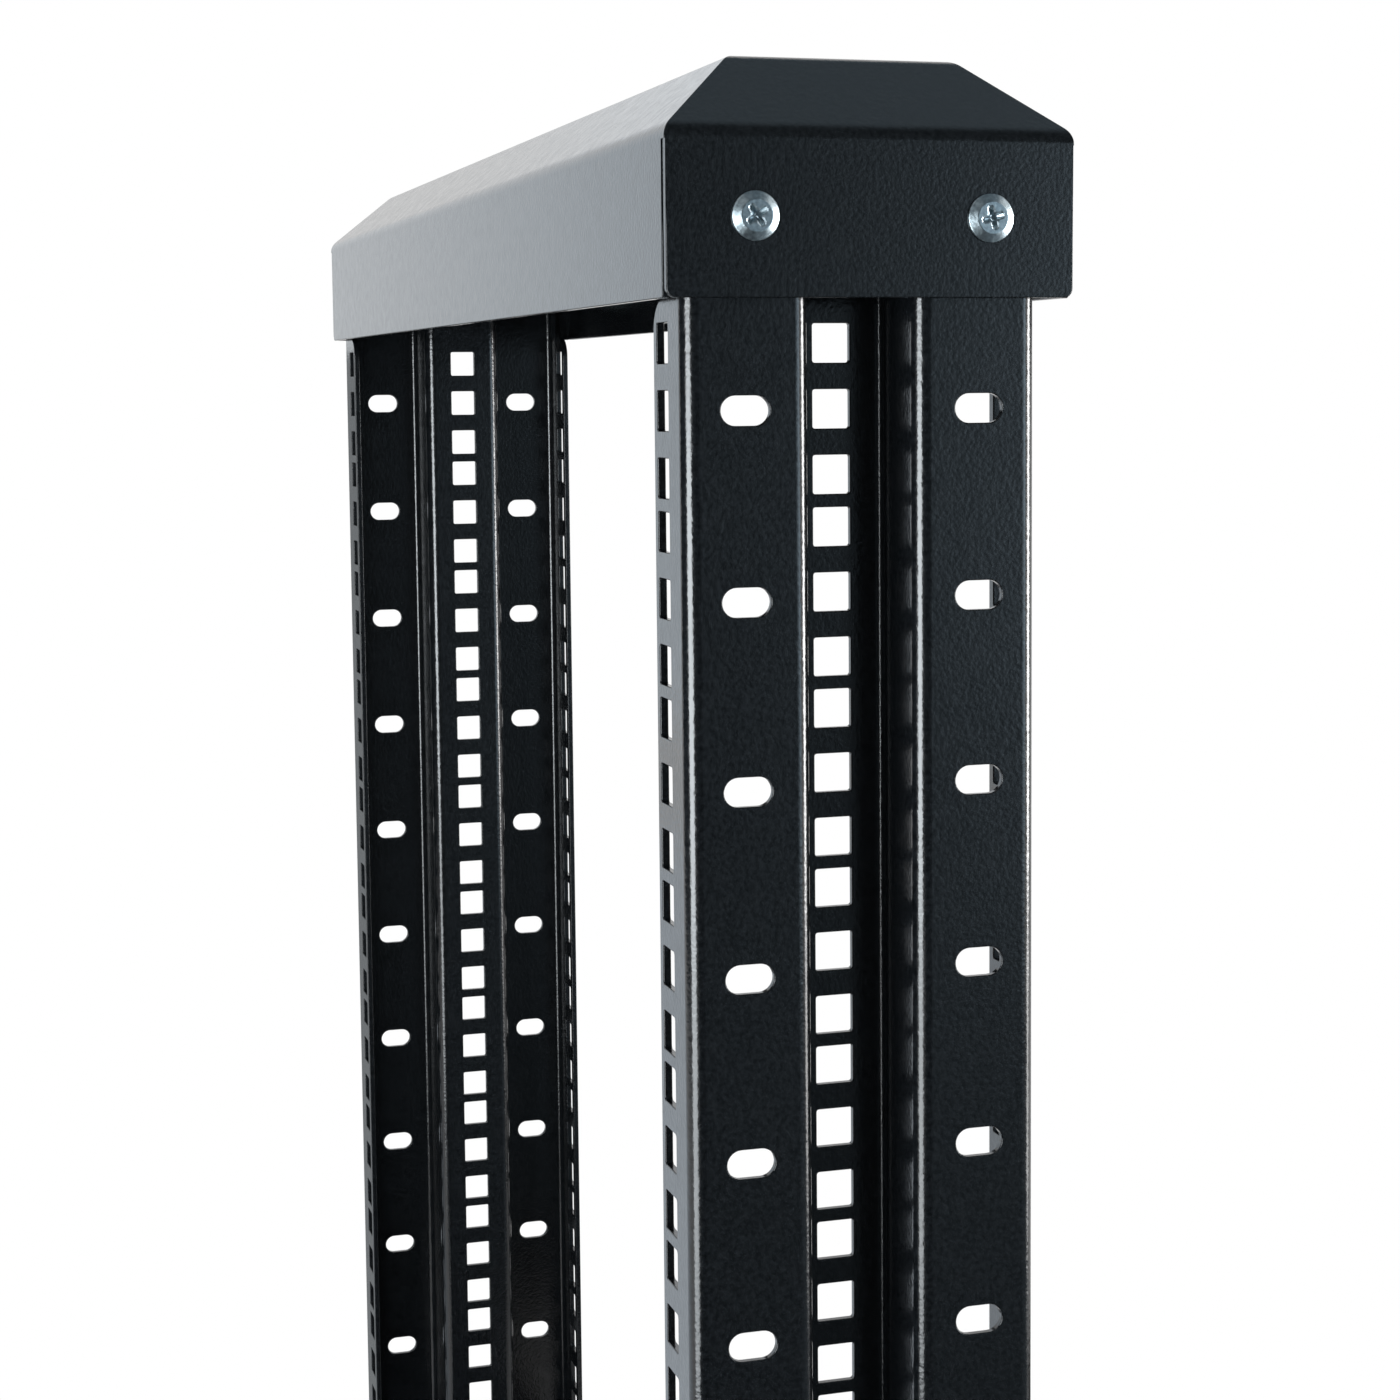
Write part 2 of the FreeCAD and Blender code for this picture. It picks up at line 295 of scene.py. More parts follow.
def arc(centre_u: float, centre_v: float, radius: float, start: float, steps: int) -> list[EdgePoint]:
    """A quarter round of a panel's outline, which bulges out of the sheet.

    Args:
        centre_u: Centre across the panel.
        centre_v: Centre up the panel.
        radius: Radius of the round.
        start: Angle that it starts at, in quarter turns.
        steps: Steps along it.

    Returns:
        The points, counter-clockwise.
    """
    points = []
    for step in range(steps + 1):
        angle = (start + step / steps) * math.pi / 2
        c, s = math.cos(angle), math.sin(angle)
        points.append(EdgePoint(centre_u + radius * c, centre_v + radius * s, c, s))
    return points


def hole(u: float, v: float, width: float, height: float, radius: float, steps: int) -> list[EdgePoint]:
    """The edge of a rounded hole.

    Args:
        u: Centre across the panel.
        v: Centre up the panel.
        width: Size across.
        height: Size up.
        radius: Radius of the corners.
        steps: Steps round each corner.

    Returns:
        The closed edge, counter-clockwise.
    """
    loop: list[EdgePoint] = []
    for quarter in range(4):
        middle = (quarter + 0.5) * math.pi / 2
        centre_u = u + math.copysign(width / 2 - radius, math.cos(middle))
        centre_v = v + math.copysign(height / 2 - radius, math.sin(middle))
        for spot in arc(centre_u, centre_v, radius, quarter, steps):
            if not loop or not spot.meets(loop[-1]):
                loop.append(EdgePoint(spot.u, spot.v, -spot.out_u, -spot.out_v))
    if loop[0].meets(loop[-1]):
        loop.pop()
    return loop


def round_hole(u: float, v: float, size: float) -> list[EdgePoint]:
    """The edge of a round hole."""
    return hole(u, v, size, size, size / 2, ROUND_STEPS)


def cut_edge(
    draft: MeshDraft,
    plane: SheetPlane,
    sheet: float,
    chain: Sequence[EdgePoint],
    ends: Sequence[tuple[int, int]] = (),
) -> tuple[list[int], list[int]]:
    """Adds the cut edge of a panel, eased at both faces of the sheet.

    Args:
        draft: The mesh in the making.
        plane: The panel's outer face.
        sheet: Thickness of the sheet.
        chain: The edge's points; a hole if there are no ends.
        ends: Outer and inner point that the edge starts from, and those that it ends at.

    Returns:
        The edge's points in the outer face, and those in the inner face.
    """
    rows: list[list[int]] = [[], [], [], []]
    last = len(chain) - 1
    for order, spot in enumerate(chain):
        if ends and order in (0, last):
            outer, inner = ends[0] if order == 0 else ends[1]
            numbers = (outer, outer, inner, inner)
        else:
            u, v = spot.u - spot.out_u * EASE, spot.v - spot.out_v * EASE
            numbers = (
                draft.point(plane.at(u, v)),
                draft.point(plane.at(spot.u, spot.v, EASE)),
                draft.point(plane.at(spot.u, spot.v, sheet - EASE)),
                draft.point(plane.at(u, v, sheet)),
            )
        for row, number in zip(rows, numbers):
            row.append(number)
    out = [plane.way(spot.out_u, spot.out_v) for spot in chain]
    outside, inside = [plane.face] * len(chain), [-plane.face] * len(chain)
    draft.skin(list(zip(rows, (outside, out, out, inside))), closed=not ends)
    return rows[0], rows[3]


def punched(
    draft: MeshDraft,
    plane: SheetPlane,
    sheet: float,
    outlines: tuple[list[int], list[int]],
    holes: Iterable[Sequence[EdgePoint]],
) -> None:
    """Adds both faces of a flat panel, with its holes.

    Args:
        draft: The mesh in the making.
        plane: The panel's outer face.
        sheet: Thickness of the sheet.
        outlines: The outline of the outer face, and that of the inner face.
        holes: The closed edges of its holes.
    """
    edges = [cut_edge(draft, plane, sheet, edge) for edge in holes]
    for layer, way in enumerate((plane.face, -plane.face)):
        draft.patch([outlines[layer], *(edge[layer] for edge in edges)], way)


def turned(draft: MeshDraft, rows: Sequence[Row], sides: int) -> None:
    """Adds a turned surface about +Z.

    Args:
        draft: The mesh in the making.
        rows: Its rings, from one end to the other.
        sides: Steps round the axis.
    """
    rings = []
    for radius, height, out, rise in rows:
        ways = [(spoke * out + UP * rise).normalized() for spoke in spokes(sides)]
        rings.append((draft.circle(radius, height, sides), ways))
    draft.skin(rings)


def hexagon(
    draft: MeshDraft, width: float, low: float, high: float, bore: float = 0.0, both_eased: bool = True
) -> None:
    """Adds a hexagon head or nut about +Z, its corners turned down to a cone.

    Args:
        draft: The mesh in the making.
        width: Size across the flats.
        low: Height of the underside.
        high: Height of the top.
        bore: Radius of the bore, or 0 for none.
        both_eased: Whether the underside is turned too.
    """
    inner = width / 2 * HEX_TURNED
    rings: list[list[int]] = [[], [], [], []]
    flats: list[Vector] = []
    radials = []
    for side in range(6):
        middle = (side + 0.5) * math.pi / 3
        for step in range(HEX_STEPS):
            angle = side * math.pi / 3 + step / HEX_STEPS * math.pi / 3
            reach = width / 2 / math.cos(angle - middle)
            drop = (reach - inner) * math.tan(HEX_CONE)
            radial = Vector((math.cos(angle), math.sin(angle), 0.0))
            low_drop = drop if both_eased else 0.0
            places = ((inner, low), (reach, low + low_drop), (reach, high - drop), (inner, high))
            for ring, (radius, height) in zip(rings, places):
                ring.append(draft.point(radial * radius + UP * height))
            flats.append(Vector((math.cos(middle), math.sin(middle), 0.0)))
            radials.append(radial)
    count = len(flats)
    for step in range(count):
        after = (step + 1) % count
        draft.flat_face((rings[1][step], rings[1][after], rings[2][after], rings[2][step]), flats[step])
        for outer, flat, rise in ((rings[1], rings[0], -1.0), (rings[2], rings[3], 1.0)):
            slant = radials[step] * math.sin(HEX_CONE) + UP * (rise * math.cos(HEX_CONE))
            draft.flat_face((outer[step], outer[after], flat[after], flat[step]), slant)
    for ring, height, rise in ((rings[0], low, -1.0), (rings[3], high, 1.0)):
        loops = [ring]
        if bore > 0.0:
            loops.append(draft.circle(bore, height, count))
        draft.patch(loops, UP * rise)
    if bore > 0.0:
        turned(draft, ((bore, low, -1.0, 0.0), (bore, high, -1.0, 0.0)), count)


@dataclass(frozen=True)
class ThreadedRod:
    """A threaded rod about +Z, with a chamfer at both ends."""

    radius: float
    pitch: float
    low: float
    high: float
    depth_share: float = 0.5
    flank_slope: float = 0.6
    sides: int = 32
    rows_per_turn: int = 6

    def add_to(self, draft: MeshDraft) -> None:
        """Adds the rod to a draft.

        Args:
            draft: The mesh in the making.
        """
        depth = self.pitch * self.depth_share
        count = round((self.high - self.low) / self.pitch * self.rows_per_turn)
        rings: list[Ring] = []
        for row in range(count + 1):
            height = self.low + (self.high - self.low) * row / count
            end = min(height - self.low, self.high - height)
            ring, ways = [], []
            for side, radial in enumerate(spokes(self.sides)):
                turn = (height / self.pitch - side / self.sides) % 1.0
                reach = min(self.radius - depth * abs(turn * 2 - 1), self.radius - depth + end)
                slope = self.flank_slope if turn > 0.5 else -self.flank_slope
                ring.append(draft.point(radial * reach + UP * height))
                ways.append((radial + UP * slope).normalized())
            rings.append((ring, ways))
        draft.skin(rings)
        draft.flat_face(rings[0][0], -UP)
        draft.flat_face(rings[-1][0], UP)


class ShaderNodes:
    """The shader nodes of a material or of the surroundings."""

    def __init__(self, tree: bpy.types.NodeTree) -> None:
        """Takes up a node tree."""
        self.nodes = tree.nodes
        self.links = tree.links

    def feed(self, node: bpy.types.Node, inputs: dict[str | int, Any]) -> None:
        """Links or sets inputs of a node.

        Args:
            node: The node.
            inputs: By an input's name or number, the output to link to it or the value to set.
        """
        for key, source in inputs.items():
            if isinstance(source, bpy.types.NodeSocket):
                self.links.new(source, node.inputs[key])
            else:
                node.inputs[key].default_value = source

    def add(self, kind: str, inputs: dict[str | int, Any], operation: str = "") -> bpy.types.Node:
        """Adds a node.

        Args:
            kind: Its type.
            inputs: What its inputs are fed.
            operation: What a math node does.

        Returns:
            The node.
        """
        node = self.nodes.new(kind)
        if operation:
            node.operation = operation
        self.feed(node, inputs)
        return node

    def ranged(self, value: bpy.types.NodeSocket, span: Pair, result: Pair) -> bpy.types.Node:
        """Maps a span of values to another one, and holds it at the ends.

        Args:
            value: The value.
            span: The span that it runs over.
            result: What the span's start and end become.

        Returns:
            The node that does it.
        """
        (start, end), (low, high) = span, result
        inputs = {"Value": value, "From Min": start, "From Max": end, "To Min": low, "To Max": high}
        return self.add("ShaderNodeMapRange", inputs)

    def seen(self) -> bpy.types.NodeSocket:
        """Tells rays of the camera, of reflections and through clear surfaces from all others.

        Returns:
            1 for such a ray, else 0.
        """
        path = self.add("ShaderNodeLightPath", {}).outputs
        found = path["Is Camera Ray"]
        for name in ("Is Glossy Ray", "Is Transmission Ray"):
            found = self.add("ShaderNodeMath", {0: found, 1: path[name]}, "MAXIMUM").outputs["Value"]
        return found


@dataclass(frozen=True)
class Grain:
    """Noise over a surface: the size of its lumps, and the octaves of finer noise on them."""

    feature: float
    detail: float


class MaterialNodes(ShaderNodes):
    """The nodes of one material, with its shader."""

    def __init__(self, name: str) -> None:
        """Starts a material with its own Principled shader.

        Args:
            name: The material's name.
        """
        self.material = bpy.data.materials.new(name)
        self.material.use_nodes = True
        super().__init__(self.material.node_tree)
        self.shader = self.nodes["Principled BSDF"]
        self.output = self.nodes["Material Output"]
        self.place = self.add("ShaderNodeTexCoord", {}).outputs["Object"]

    def noise(self, grain: Grain) -> bpy.types.NodeSocket:
        """Noise over the surface, from 0 to 1."""
        inputs = {"Vector": self.place, "Scale": 1.0 / grain.feature, "Detail": grain.detail}
        return self.add("ShaderNodeTexNoise", inputs).outputs["Fac"]

    def spread(self, grain: Grain, low: float, high: float) -> bpy.types.NodeSocket:
        """Spreads a noise over the values from low to high."""
        return self.ranged(self.noise(grain), NOISE_SPAN, (low, high)).outputs["Result"]

    def colours(self, grain: Grain, first: Triple, second: Triple) -> bpy.types.NodeSocket:
        """Wanders between two colours, by a noise.

        Args:
            grain: The noise.
            first: Colour at its usual lowest.
            second: Colour at its usual highest.

        Returns:
            The colour.
        """
        ramp = self.add("ShaderNodeValToRGB", {"Fac": self.noise(grain)})
        stops = zip(ramp.color_ramp.elements, NOISE_SPAN, (first, second))
        for element, position, colour in stops:
            element.position = position
            element.color = (*colour, 1.0)
        return ramp.outputs["Color"]

    def relief(self, heights: Sequence[tuple[Grain, float]]) -> bpy.types.NodeSocket:
        """Roughens the surface.

        Args:
            heights: Noises and the height in metres of each.

        Returns:
            The normal of the rough surface.
        """
        inputs: dict[str | int, Any] = {}
        for grain, height in heights:
            inputs.update({"Strength": 1.0, "Distance": height, "Height": self.noise(grain)})
            inputs["Normal"] = self.add("ShaderNodeBump", inputs).outputs["Normal"]
        return inputs["Normal"]


@dataclass(frozen=True)
class Finish:
    """A finish whose colour and gloss wander a little, with a fine relief."""

    name: str
    slot: str
    dark: Triple
    light: Triple
    # Noise that the colour wanders by: random tone, and on the powder coat, where it is the relief's
    # own noise, painted shade and painted light of that relief
    tone_and_painted_shade_grain: Grain
    smoothest: float
    roughest: float
    gloss_grain: Grain
    relief: tuple[tuple[Grain, float], ...]
    metallic: float = 0.0
    specular: float = 0.5

    def material(self) -> bpy.types.Material:
        """Makes the material.

        Returns:
            The material, named for the finish.
        """
        tree = MaterialNodes(self.name)
        tree.feed(tree.shader, {
            "Base Color": tree.colours(self.tone_and_painted_shade_grain, self.dark, self.light),
            "Roughness": tree.spread(self.gloss_grain, self.smoothest, self.roughest),
            "Normal": tree.relief(self.relief),
            "Metallic": self.metallic,
            "Specular IOR Level": self.specular,
        })
        return tree.material


@dataclass(frozen=True)
class PowderCoat(Finish):
    """Black powder coat on sheet steel, with a fine orange peel whose shading is partly painted into
    its colour: darker in the peel's hollows, lighter on its crests.
    """

    name: str = "powder_coat"
    slot: str = "black_powder_coat"
    # The colour follows the noise of the peel's first relief: the darker colour in its hollows is
    # painted shade, the lighter colour on its crests is painted light
    dark: Triple = (0.0016, 0.0020, 0.0024)
    light: Triple = (0.0060, 0.0071, 0.0083)
    tone_and_painted_shade_grain: Grain = Grain(0.0011, 1.5)
    smoothest: float = 0.15
    roughest: float = 0.21
    gloss_grain: Grain = Grain(0.0040, 2.0)
    relief: tuple[tuple[Grain, float], ...] = (
        (Grain(0.0011, 1.5), 0.000062), (Grain(0.00034, 1.0), 0.000002))
    specular: float = 0.62


@dataclass(frozen=True)
class ZincPlate(Finish):
    """Bright bluish zinc plate on small steel fasteners."""

    name: str = "zinc_plate"
    slot: str = "zinc_plated_steel"
    dark: Triple = (0.30, 0.36, 0.39)
    light: Triple = (0.51, 0.59, 0.62)
    tone_and_painted_shade_grain: Grain = Grain(0.0009, 3.0)
    smoothest: float = 0.28
    roughest: float = 0.43
    gloss_grain: Grain = Grain(0.0006, 2.0)
    relief: tuple[tuple[Grain, float], ...] = ((Grain(0.0005, 2.0), 0.000006),)
    metallic: float = 1.0


@dataclass(frozen=True)
class MouldedPlastic(Finish):
    """Matt black plastic with a spark-eroded grain."""

    name: str = "moulded_plastic"
    slot: str = "foot_plastic"
    dark: Triple = (0.014, 0.014, 0.015)
    light: Triple = (0.024, 0.024, 0.026)
    tone_and_painted_shade_grain: Grain = Grain(0.004, 3.0)
    smoothest: float = 0.42
    roughest: float = 0.58
    gloss_grain: Grain = Grain(0.001, 2.0)
    relief: tuple[tuple[Grain, float], ...] = ((Grain(0.00025, 1.0), 0.000012),)


@dataclass(frozen=True)
class Dressing:
    """A finish made once, to dress many pieces with."""

    slot: str
    material: bpy.types.Material

    def dress(self, piece: bpy.types.Object, *nodes: str) -> None:
        """Gives a piece its finish, ties it to the rack and reports it.

        Args:
            piece: The piece, in place.
            nodes: The solids that it stands for.
        """
        piece.data.materials.append(self.material)
        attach(piece, BODY)
        if nodes:
            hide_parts(*nodes)
        LOG.info("%s: %d faces, %s", piece.name, len(piece.data.polygons), self.slot)


class SheetPart:
    """A piece of coated sheet, which takes its outer size and its place from its solid."""

    def measure(self, node: str) -> None:
        """Reads the outer size from the solid.

        Args:
            node: The solid's name.
        """
        self.node = node
        self.low, self.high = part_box(self.node)
        self.middle = (self.low + self.high) / 2
        self.size = self.high - self.low

    def dress(self, piece: bpy.types.Object, coat: Dressing) -> None:
        """Coats the piece, in place of its solid."""
        coat.dress(piece, self.node)


@dataclass(frozen=True)
class Station:
    """A line up an upright where a bend is cut: its place in plan and the way the face looks."""

    place: Vector
    face: Vector


@dataclass
class Upright(SheetPart):
    """A roll-formed upright, built with its outer face towards +X and then turned."""

    portal: Portal
    side: Side
    sheet: float = 0.0020
    bend: float = 0.0020
    bend_steps: int = 8
    groove: float = 0.0260
    tail: float = 0.0440
    flange_end: float = 0.0105
    flange_round: float = 0.0080
    unit: float = 0.04445
    hole_step: float = 0.015875
    rows_in_unit: int = 3
    hole_edge: float = 0.00755
    hole_side: float = 0.0095
    hole_round: float = 0.0006
    slot_spacing: float = 0.0580
    slot_length: float = 0.0120
    slot_width: float = 0.0070

    def __post_init__(self) -> None:
        """Reads the upright's outer sizes from its solid, and sets out its rows of holes."""
        self.measure(f"upright_{self.portal.value}_{self.side.value}")
        self.flange, self.depth = self.size.x, self.size.y
        first = self.low.z + self.tail
        last = self.high.z - self.tail
        units = round((last - first + self.unit - 2 * self.hole_step) / self.unit)
        self.hole_rows = [
            first + unit * self.unit + row * self.hole_step
            for unit in range(units) for row in range(self.rows_in_unit)]
        self.slot_rows = [first + self.hole_step + unit * self.unit for unit in range(-1, units + 1)]
        self.levels = (self.low.z, first - self.flange_end, last + self.flange_end, self.high.z)

    def bends(self) -> list[list[Station]]:
        """The six bends of the section, from the front flange round to the rear one.

        Returns:
            The stations of each bend.
        """
        half, groove, web = self.depth / 2, self.groove / 2, self.sheet - self.flange
        front_half = [(-self.flange, -half), (0.0, -half), (0.0, -groove), (web, -groove)]
        rear_half = [(x, -y) for x, y in reversed(front_half)]
        line = [Vector((x, y, 0.0)) for x, y in front_half + rear_half]
        made = []
        for before, corner, after in zip(line, line[1:], line[2:]):
            arriving, leaving = (corner - before).normalized(), (after - corner).normalized()
            outward = 1.0 if arriving.cross(leaving).z > 0.0 else -1.0
            radius = self.bend + (self.sheet if outward > 0.0 else 0.0)
            centre = corner + (leaving - arriving) * radius
            stations = []
            for step in range(self.bend_steps + 1):
                angle = step / self.bend_steps * math.pi / 2
                spoke = arriving * math.sin(angle) - leaving * math.cos(angle)
                stations.append(Station(centre + spoke * radius, spoke * outward))
            made.append(stations)
        return made

    def column(self, draft: MeshDraft, station: Station) -> Column:
        """Adds the points of one station at every level.

        Args:
            draft: The mesh in the making.
            station: The station.

        Returns:
            Its outer points and its inner points.
        """
        inside = station.place - station.face * self.sheet
        outer = [draft.point(station.place + UP * level) for level in self.levels]
        inner = [draft.point(inside + UP * level) for level in self.levels]
        return outer, inner

    def squares(self, u: float) -> list[list[EdgePoint]]:
        """The edges of a column of square holes."""
        side, radius = self.hole_side, self.hole_round
        return [hole(u, row, side, side, radius, SQUARE_STEPS) for row in self.hole_rows]

    def slots(self, u: float) -> list[list[EdgePoint]]:
        """The edges of a column of oblong slots."""
        length, width = self.slot_length, self.slot_width
        return [hole(u, row, length, width, width / 2, SLOT_STEPS) for row in self.slot_rows]

    def flange_panel(self, draft: MeshDraft, station: Station, column: Column) -> None:
        """Adds a flange with its square holes and rounded ends.

        Args:
            draft: The mesh in the making.
            station: Where the flange leaves its bend.
            column: The points of that station.
        """
        width = self.flange - self.bend - self.sheet
        plane = SheetPlane(station.place, -RIGHT, UP, station.face)
        outer, inner = column
        _, low, high, _ = self.levels
        r = self.flange_round
        chain = [EdgePoint(0.0, low, 0.0, -1.0)]
        chain += arc(width - r, low + r, r, -1.0, FLANGE_STEPS)
        chain += arc(width - r, high - r, r, 0.0, FLANGE_STEPS)
        chain.append(EdgePoint(0.0, high, 0.0, 1.0))
        ends = ((outer[1], inner[1]), (outer[2], inner[2]))
        outlines = cut_edge(draft, plane, self.sheet, chain, ends)
        punched(draft, plane, self.sheet, outlines, self.squares(width - self.hole_edge))
        for below, above in ((0, 1), (2, 3)):
            draft.flat_face((outer[below], outer[above], inner[above], inner[below]), -RIGHT)

    def panel(
        self,
        draft: MeshDraft,
        start: Station,
        first: Column,
        second: Column,
        holes: Sequence[Sequence[EdgePoint]],
    ) -> None:
        """Adds a flat panel between two bends.

        Args:
            draft: The mesh in the making.
            start: Station that the panel starts at.
            first: Points of that station.
            second: Points of the station at its other side.
            holes: Edges of its holes.
        """
        across = (draft.points[second[0][0]] - draft.points[first[0][0]]).normalized()
        plane = SheetPlane(start.place, across, UP, start.face)
        outlines = (first[0] + second[0][::-1], first[1] + second[1][::-1])
        punched(draft, plane, self.sheet, outlines, holes)

    def bent_strips(self, draft: MeshDraft, bend: Sequence[Station], columns: Sequence[Column]) -> None:
        """Adds both faces of a bend.

        Args:
            draft: The mesh in the making.
            bend: The bend's stations.
            columns: The points of each.
        """
        for step in range(self.bend_steps):
            for layer, sign in ((0, 1.0), (1, -1.0)):
                rings = [
                    (columns[order][layer], [bend[order].face * sign] * len(self.levels))
                    for order in (step, step + 1)]
                draft.skin(rings, closed=False)

    def build(self) -> bpy.types.Object:
        """Builds the upright.

        Returns:
            The piece, in place.
        """
        draft = MeshDraft()
        bends = self.bends()
        columns = [[self.column(draft, station) for station in bend] for bend in bends]
        points = [column for bend in columns for column in bend]
        for (outer, inner), (outer_after, inner_after) in zip(points, points[1:]):
            for level, way in ((0, -UP), (-1, UP)):
                corners = (outer[level], outer_after[level], inner_after[level], inner[level])
                draft.flat_face(corners, way)
        for bend, column in zip(bends, columns):
            self.bent_strips(draft, bend, column)
        outer_bend = self.bend + self.sheet
        slot_u = (self.depth - self.slot_spacing) / 2 - outer_bend
        side_width = (self.depth - self.groove) / 2 - 2 * outer_bend
        web_u = self.groove / 2 - self.bend
        holes = (self.slots(slot_u), (), self.squares(web_u), (), self.slots(side_width - slot_u))
        for order, edges in enumerate(holes):
            self.panel(draft, bends[order][-1], columns[order][-1], columns[order + 1][0], edges)
        self.flange_panel(draft, bends[0][0], points[0])
        self.flange_panel(draft, bends[-1][-1], points[-1])
        if self.side is Side.RIGHT:
            place = Matrix.Translation((self.high.x, self.middle.y, 0.0))
        else:
            turn = Matrix.Rotation(math.pi, 4, "Z")
            place = Matrix.Translation((self.low.x, self.middle.y, 0.0)) @ turn
        return draft.piece(f"formed_upright_{self.portal.value}_{self.side.value}", place)


@dataclass
class FoldedHood:
    """An open-bottomed sheet folded over on four sides, standing on its rim, longer along X.

    Each hole is its place across and up its wall, or along and across the top, and its size.
    """

    length: float
    depth: float
    wall: float
    slope_run: float = 0.0
    slope_rise: float = 0.0
    corner: HoodCorner = HoodCorner.CLOSED
    end_holes: Sequence[Triple] = ()
    top_holes: Sequence[Triple] = ()
    sheet: float = 0.0020
    bend: float = 0.0020
    bend_steps: int = 8
    corner_steps: int = 4
    outer_round: float = 0.0002
    inner_round: float = 0.0003
    wall_setback: float = 0.0027
    tab_setback: float = 0.00025
    tab_round: float = 0.0022
    wall_round: float = 0.0008

    OUTWARD = (-BACK, RIGHT, BACK, -RIGHT)
    TAB_SIDES = (1, 3)

    def __post_init__(self) -> None:
        """Counts the points of a ring at each corner."""
        self.per_corner = self.corner_steps + 3

    def profile(self) -> list[Row]:
        """The outer face over the bends, from the wall to the edge of the top.

        Returns:
            The rows of its rings.
        """
        corners, angles = [(0.0, self.wall)], [math.pi / 2, 0.0]
        if self.slope_run > 0.0:
            corners.append((self.slope_run, self.wall + self.slope_rise))
            angles.insert(1, math.atan2(self.slope_rise, self.slope_run))
        radius = self.bend + self.sheet
        rows = []
        for (inset, height), arriving, leaving in zip(corners, angles, angles[1:]):
            tangent = radius * math.tan((arriving - leaving) / 2)
            centre_inset = inset - math.cos(arriving) * tangent + math.sin(arriving) * radius
            centre_height = height - math.sin(arriving) * tangent - math.cos(arriving) * radius
            for step in range(self.bend_steps + 1):
                angle = arriving + (leaving - arriving) * step / self.bend_steps
                out, rise = math.sin(angle), math.cos(angle)
                rows.append((centre_inset - out * radius, centre_height + rise * radius, out, rise))
        return rows

    def ring(self, draft: MeshDraft, row: Row, inside: bool) -> Ring:
        """Adds a ring of points round the hood.

        Args:
            draft: The mesh in the making.
            row: How far it lies inside the hood's plan, its height above the rim, and its normal.
            inside: Whether it lies on the inner face.

        Returns:
            The points, and their normals.
        """
        inset, height, out, rise = row
        radius, setbacks = self.outer_round, (self.wall_setback, self.tab_setback)
        if inside:
            radius, setbacks = self.inner_round, (self.wall_setback - self.sheet, 2 * self.inner_round)
        reaches = (self.depth / 2 - inset, self.length / 2 - inset)
        numbers, ways = [], []
        for side in range(4):
            own, other = side % 2, (side + 1) % 2
            here, there = self.OUTWARD[side], self.OUTWARD[(side + 1) % 4]
            corner = here * reaches[own] + there * reaches[other] + UP * height
            places = [(corner - there * setbacks[own], here)]
            for step in range(self.corner_steps + 1):
                angle = step / self.corner_steps * math.pi / 2
                spoke = here * math.cos(angle) + there * math.sin(angle)
                places.append((corner - (here + there - spoke) * radius, spoke))
            places.append((corner - here * setbacks[other], there))
            for place, spoke in places:
                numbers.append(draft.point(place))
                ways.append((spoke * out + UP * rise).normalized())
        return numbers, ways

    def side_plane(self, side: int) -> SheetPlane:
        """The outer face of one wall, from the middle of its rim.

        Args:
            side: The wall's place in the order of the walls.

        Returns:
            The face.
        """
        outward = self.OUTWARD[side]
        reach = self.length / 2 if side in self.TAB_SIDES else self.depth / 2
        return SheetPlane(outward * reach, self.OUTWARD[(side + 1) % 4], UP, outward)

    def end_edges(self) -> list[list[EdgePoint]]:
        """The edges of the round holes in an end wall."""
        return [round_hole(*place) for place in self.end_holes]

    def open_walls(
        self, draft: MeshDraft, outer: Sequence[int], inner: Sequence[int], top: float
    ) -> None:
        """Adds walls and end tabs that part at the corners below the bends.

        Args:
            draft: The mesh in the making.
            outer: Ring that the outer faces hang from.
            inner: Ring that the inner faces hang from.
            top: Height of both rings.
        """
        tab_points: dict[tuple[int, int], int] = {}
        for side in range(4):
            tab = side in self.TAB_SIDES
            plane = self.side_plane(side)
            half = self.depth / 2 - self.tab_setback if tab else self.length / 2 - self.wall_setback
            left, right = side * self.per_corner - 1, side * self.per_corner
            inner_left, inner_right = inner[left], inner[right]
            if tab:
                inner_left = draft.point(plane.at(-half, top, self.sheet))
                inner_right = draft.point(plane.at(half, top, self.sheet))
                tab_points[(side, -1)], tab_points[(side, 1)] = inner_left, inner_right
            r = self.tab_round if tab else self.wall_round
            chain = [EdgePoint(-half, top, -1.0, 0.0)]
            chain += arc(r - half, r, r, 2.0, ROUND_STEPS)
            chain += arc(half - r, r, r, 3.0, ROUND_STEPS)
            chain.append(EdgePoint(half, top, 1.0, 0.0))
            ends = ((outer[left], inner_left), (outer[right], inner_right))
            outside, inside = cut_edge(draft, plane, self.sheet, chain, ends)
            if tab:
                inside = inside + [inner[right + 1], inner[right], inner[left], inner[left - 1]]
            holes = self.end_edges() if tab else []
            punched(draft, plane, self.sheet, (outside, inside), holes)
        for corner in range(4):
            start = corner * self.per_corner
            stop = start + self.per_corner
            outline = list(outer[start:stop])
            if corner % 2 == 0:
                outline += [tab_points[(corner + 1, -1)], *inner[stop - 2:start:-1], inner[start]]
            else:
                outline += [*inner[stop - 1:start:-1], tab_points[(corner, 1)]]
            draft.patch([outline], -UP)

    def closed_walls(self, draft: MeshDraft, outer: Sequence[Ring], inner: Sequence[Ring]) -> None:
        """Adds the rim of walls that join at the corners, and their ends where these have holes.

        Args:
            draft: The mesh in the making.
            outer: Rings of the outer face, from the rim up.
            inner: Rings of the inner face.
        """
        rim = self.ring(draft, (EASE, 0.0, 0.0, -1.0), False)
        inner_rim = self.ring(draft, (self.sheet - EASE, 0.0, 0.0, -1.0), True)
        draft.skin([outer[0], rim, inner_rim, inner[0]])
        for side in self.TAB_SIDES if self.end_holes else ():
            left, right = side * self.per_corner - 1, side * self.per_corner
            outlines = tuple(
                [low[left], low[right], high[right], high[left]]
                for (low, _), (high, _) in (outer[:2], inner[:2]))
            punched(draft, self.side_plane(side), self.sheet, outlines, self.end_edges())

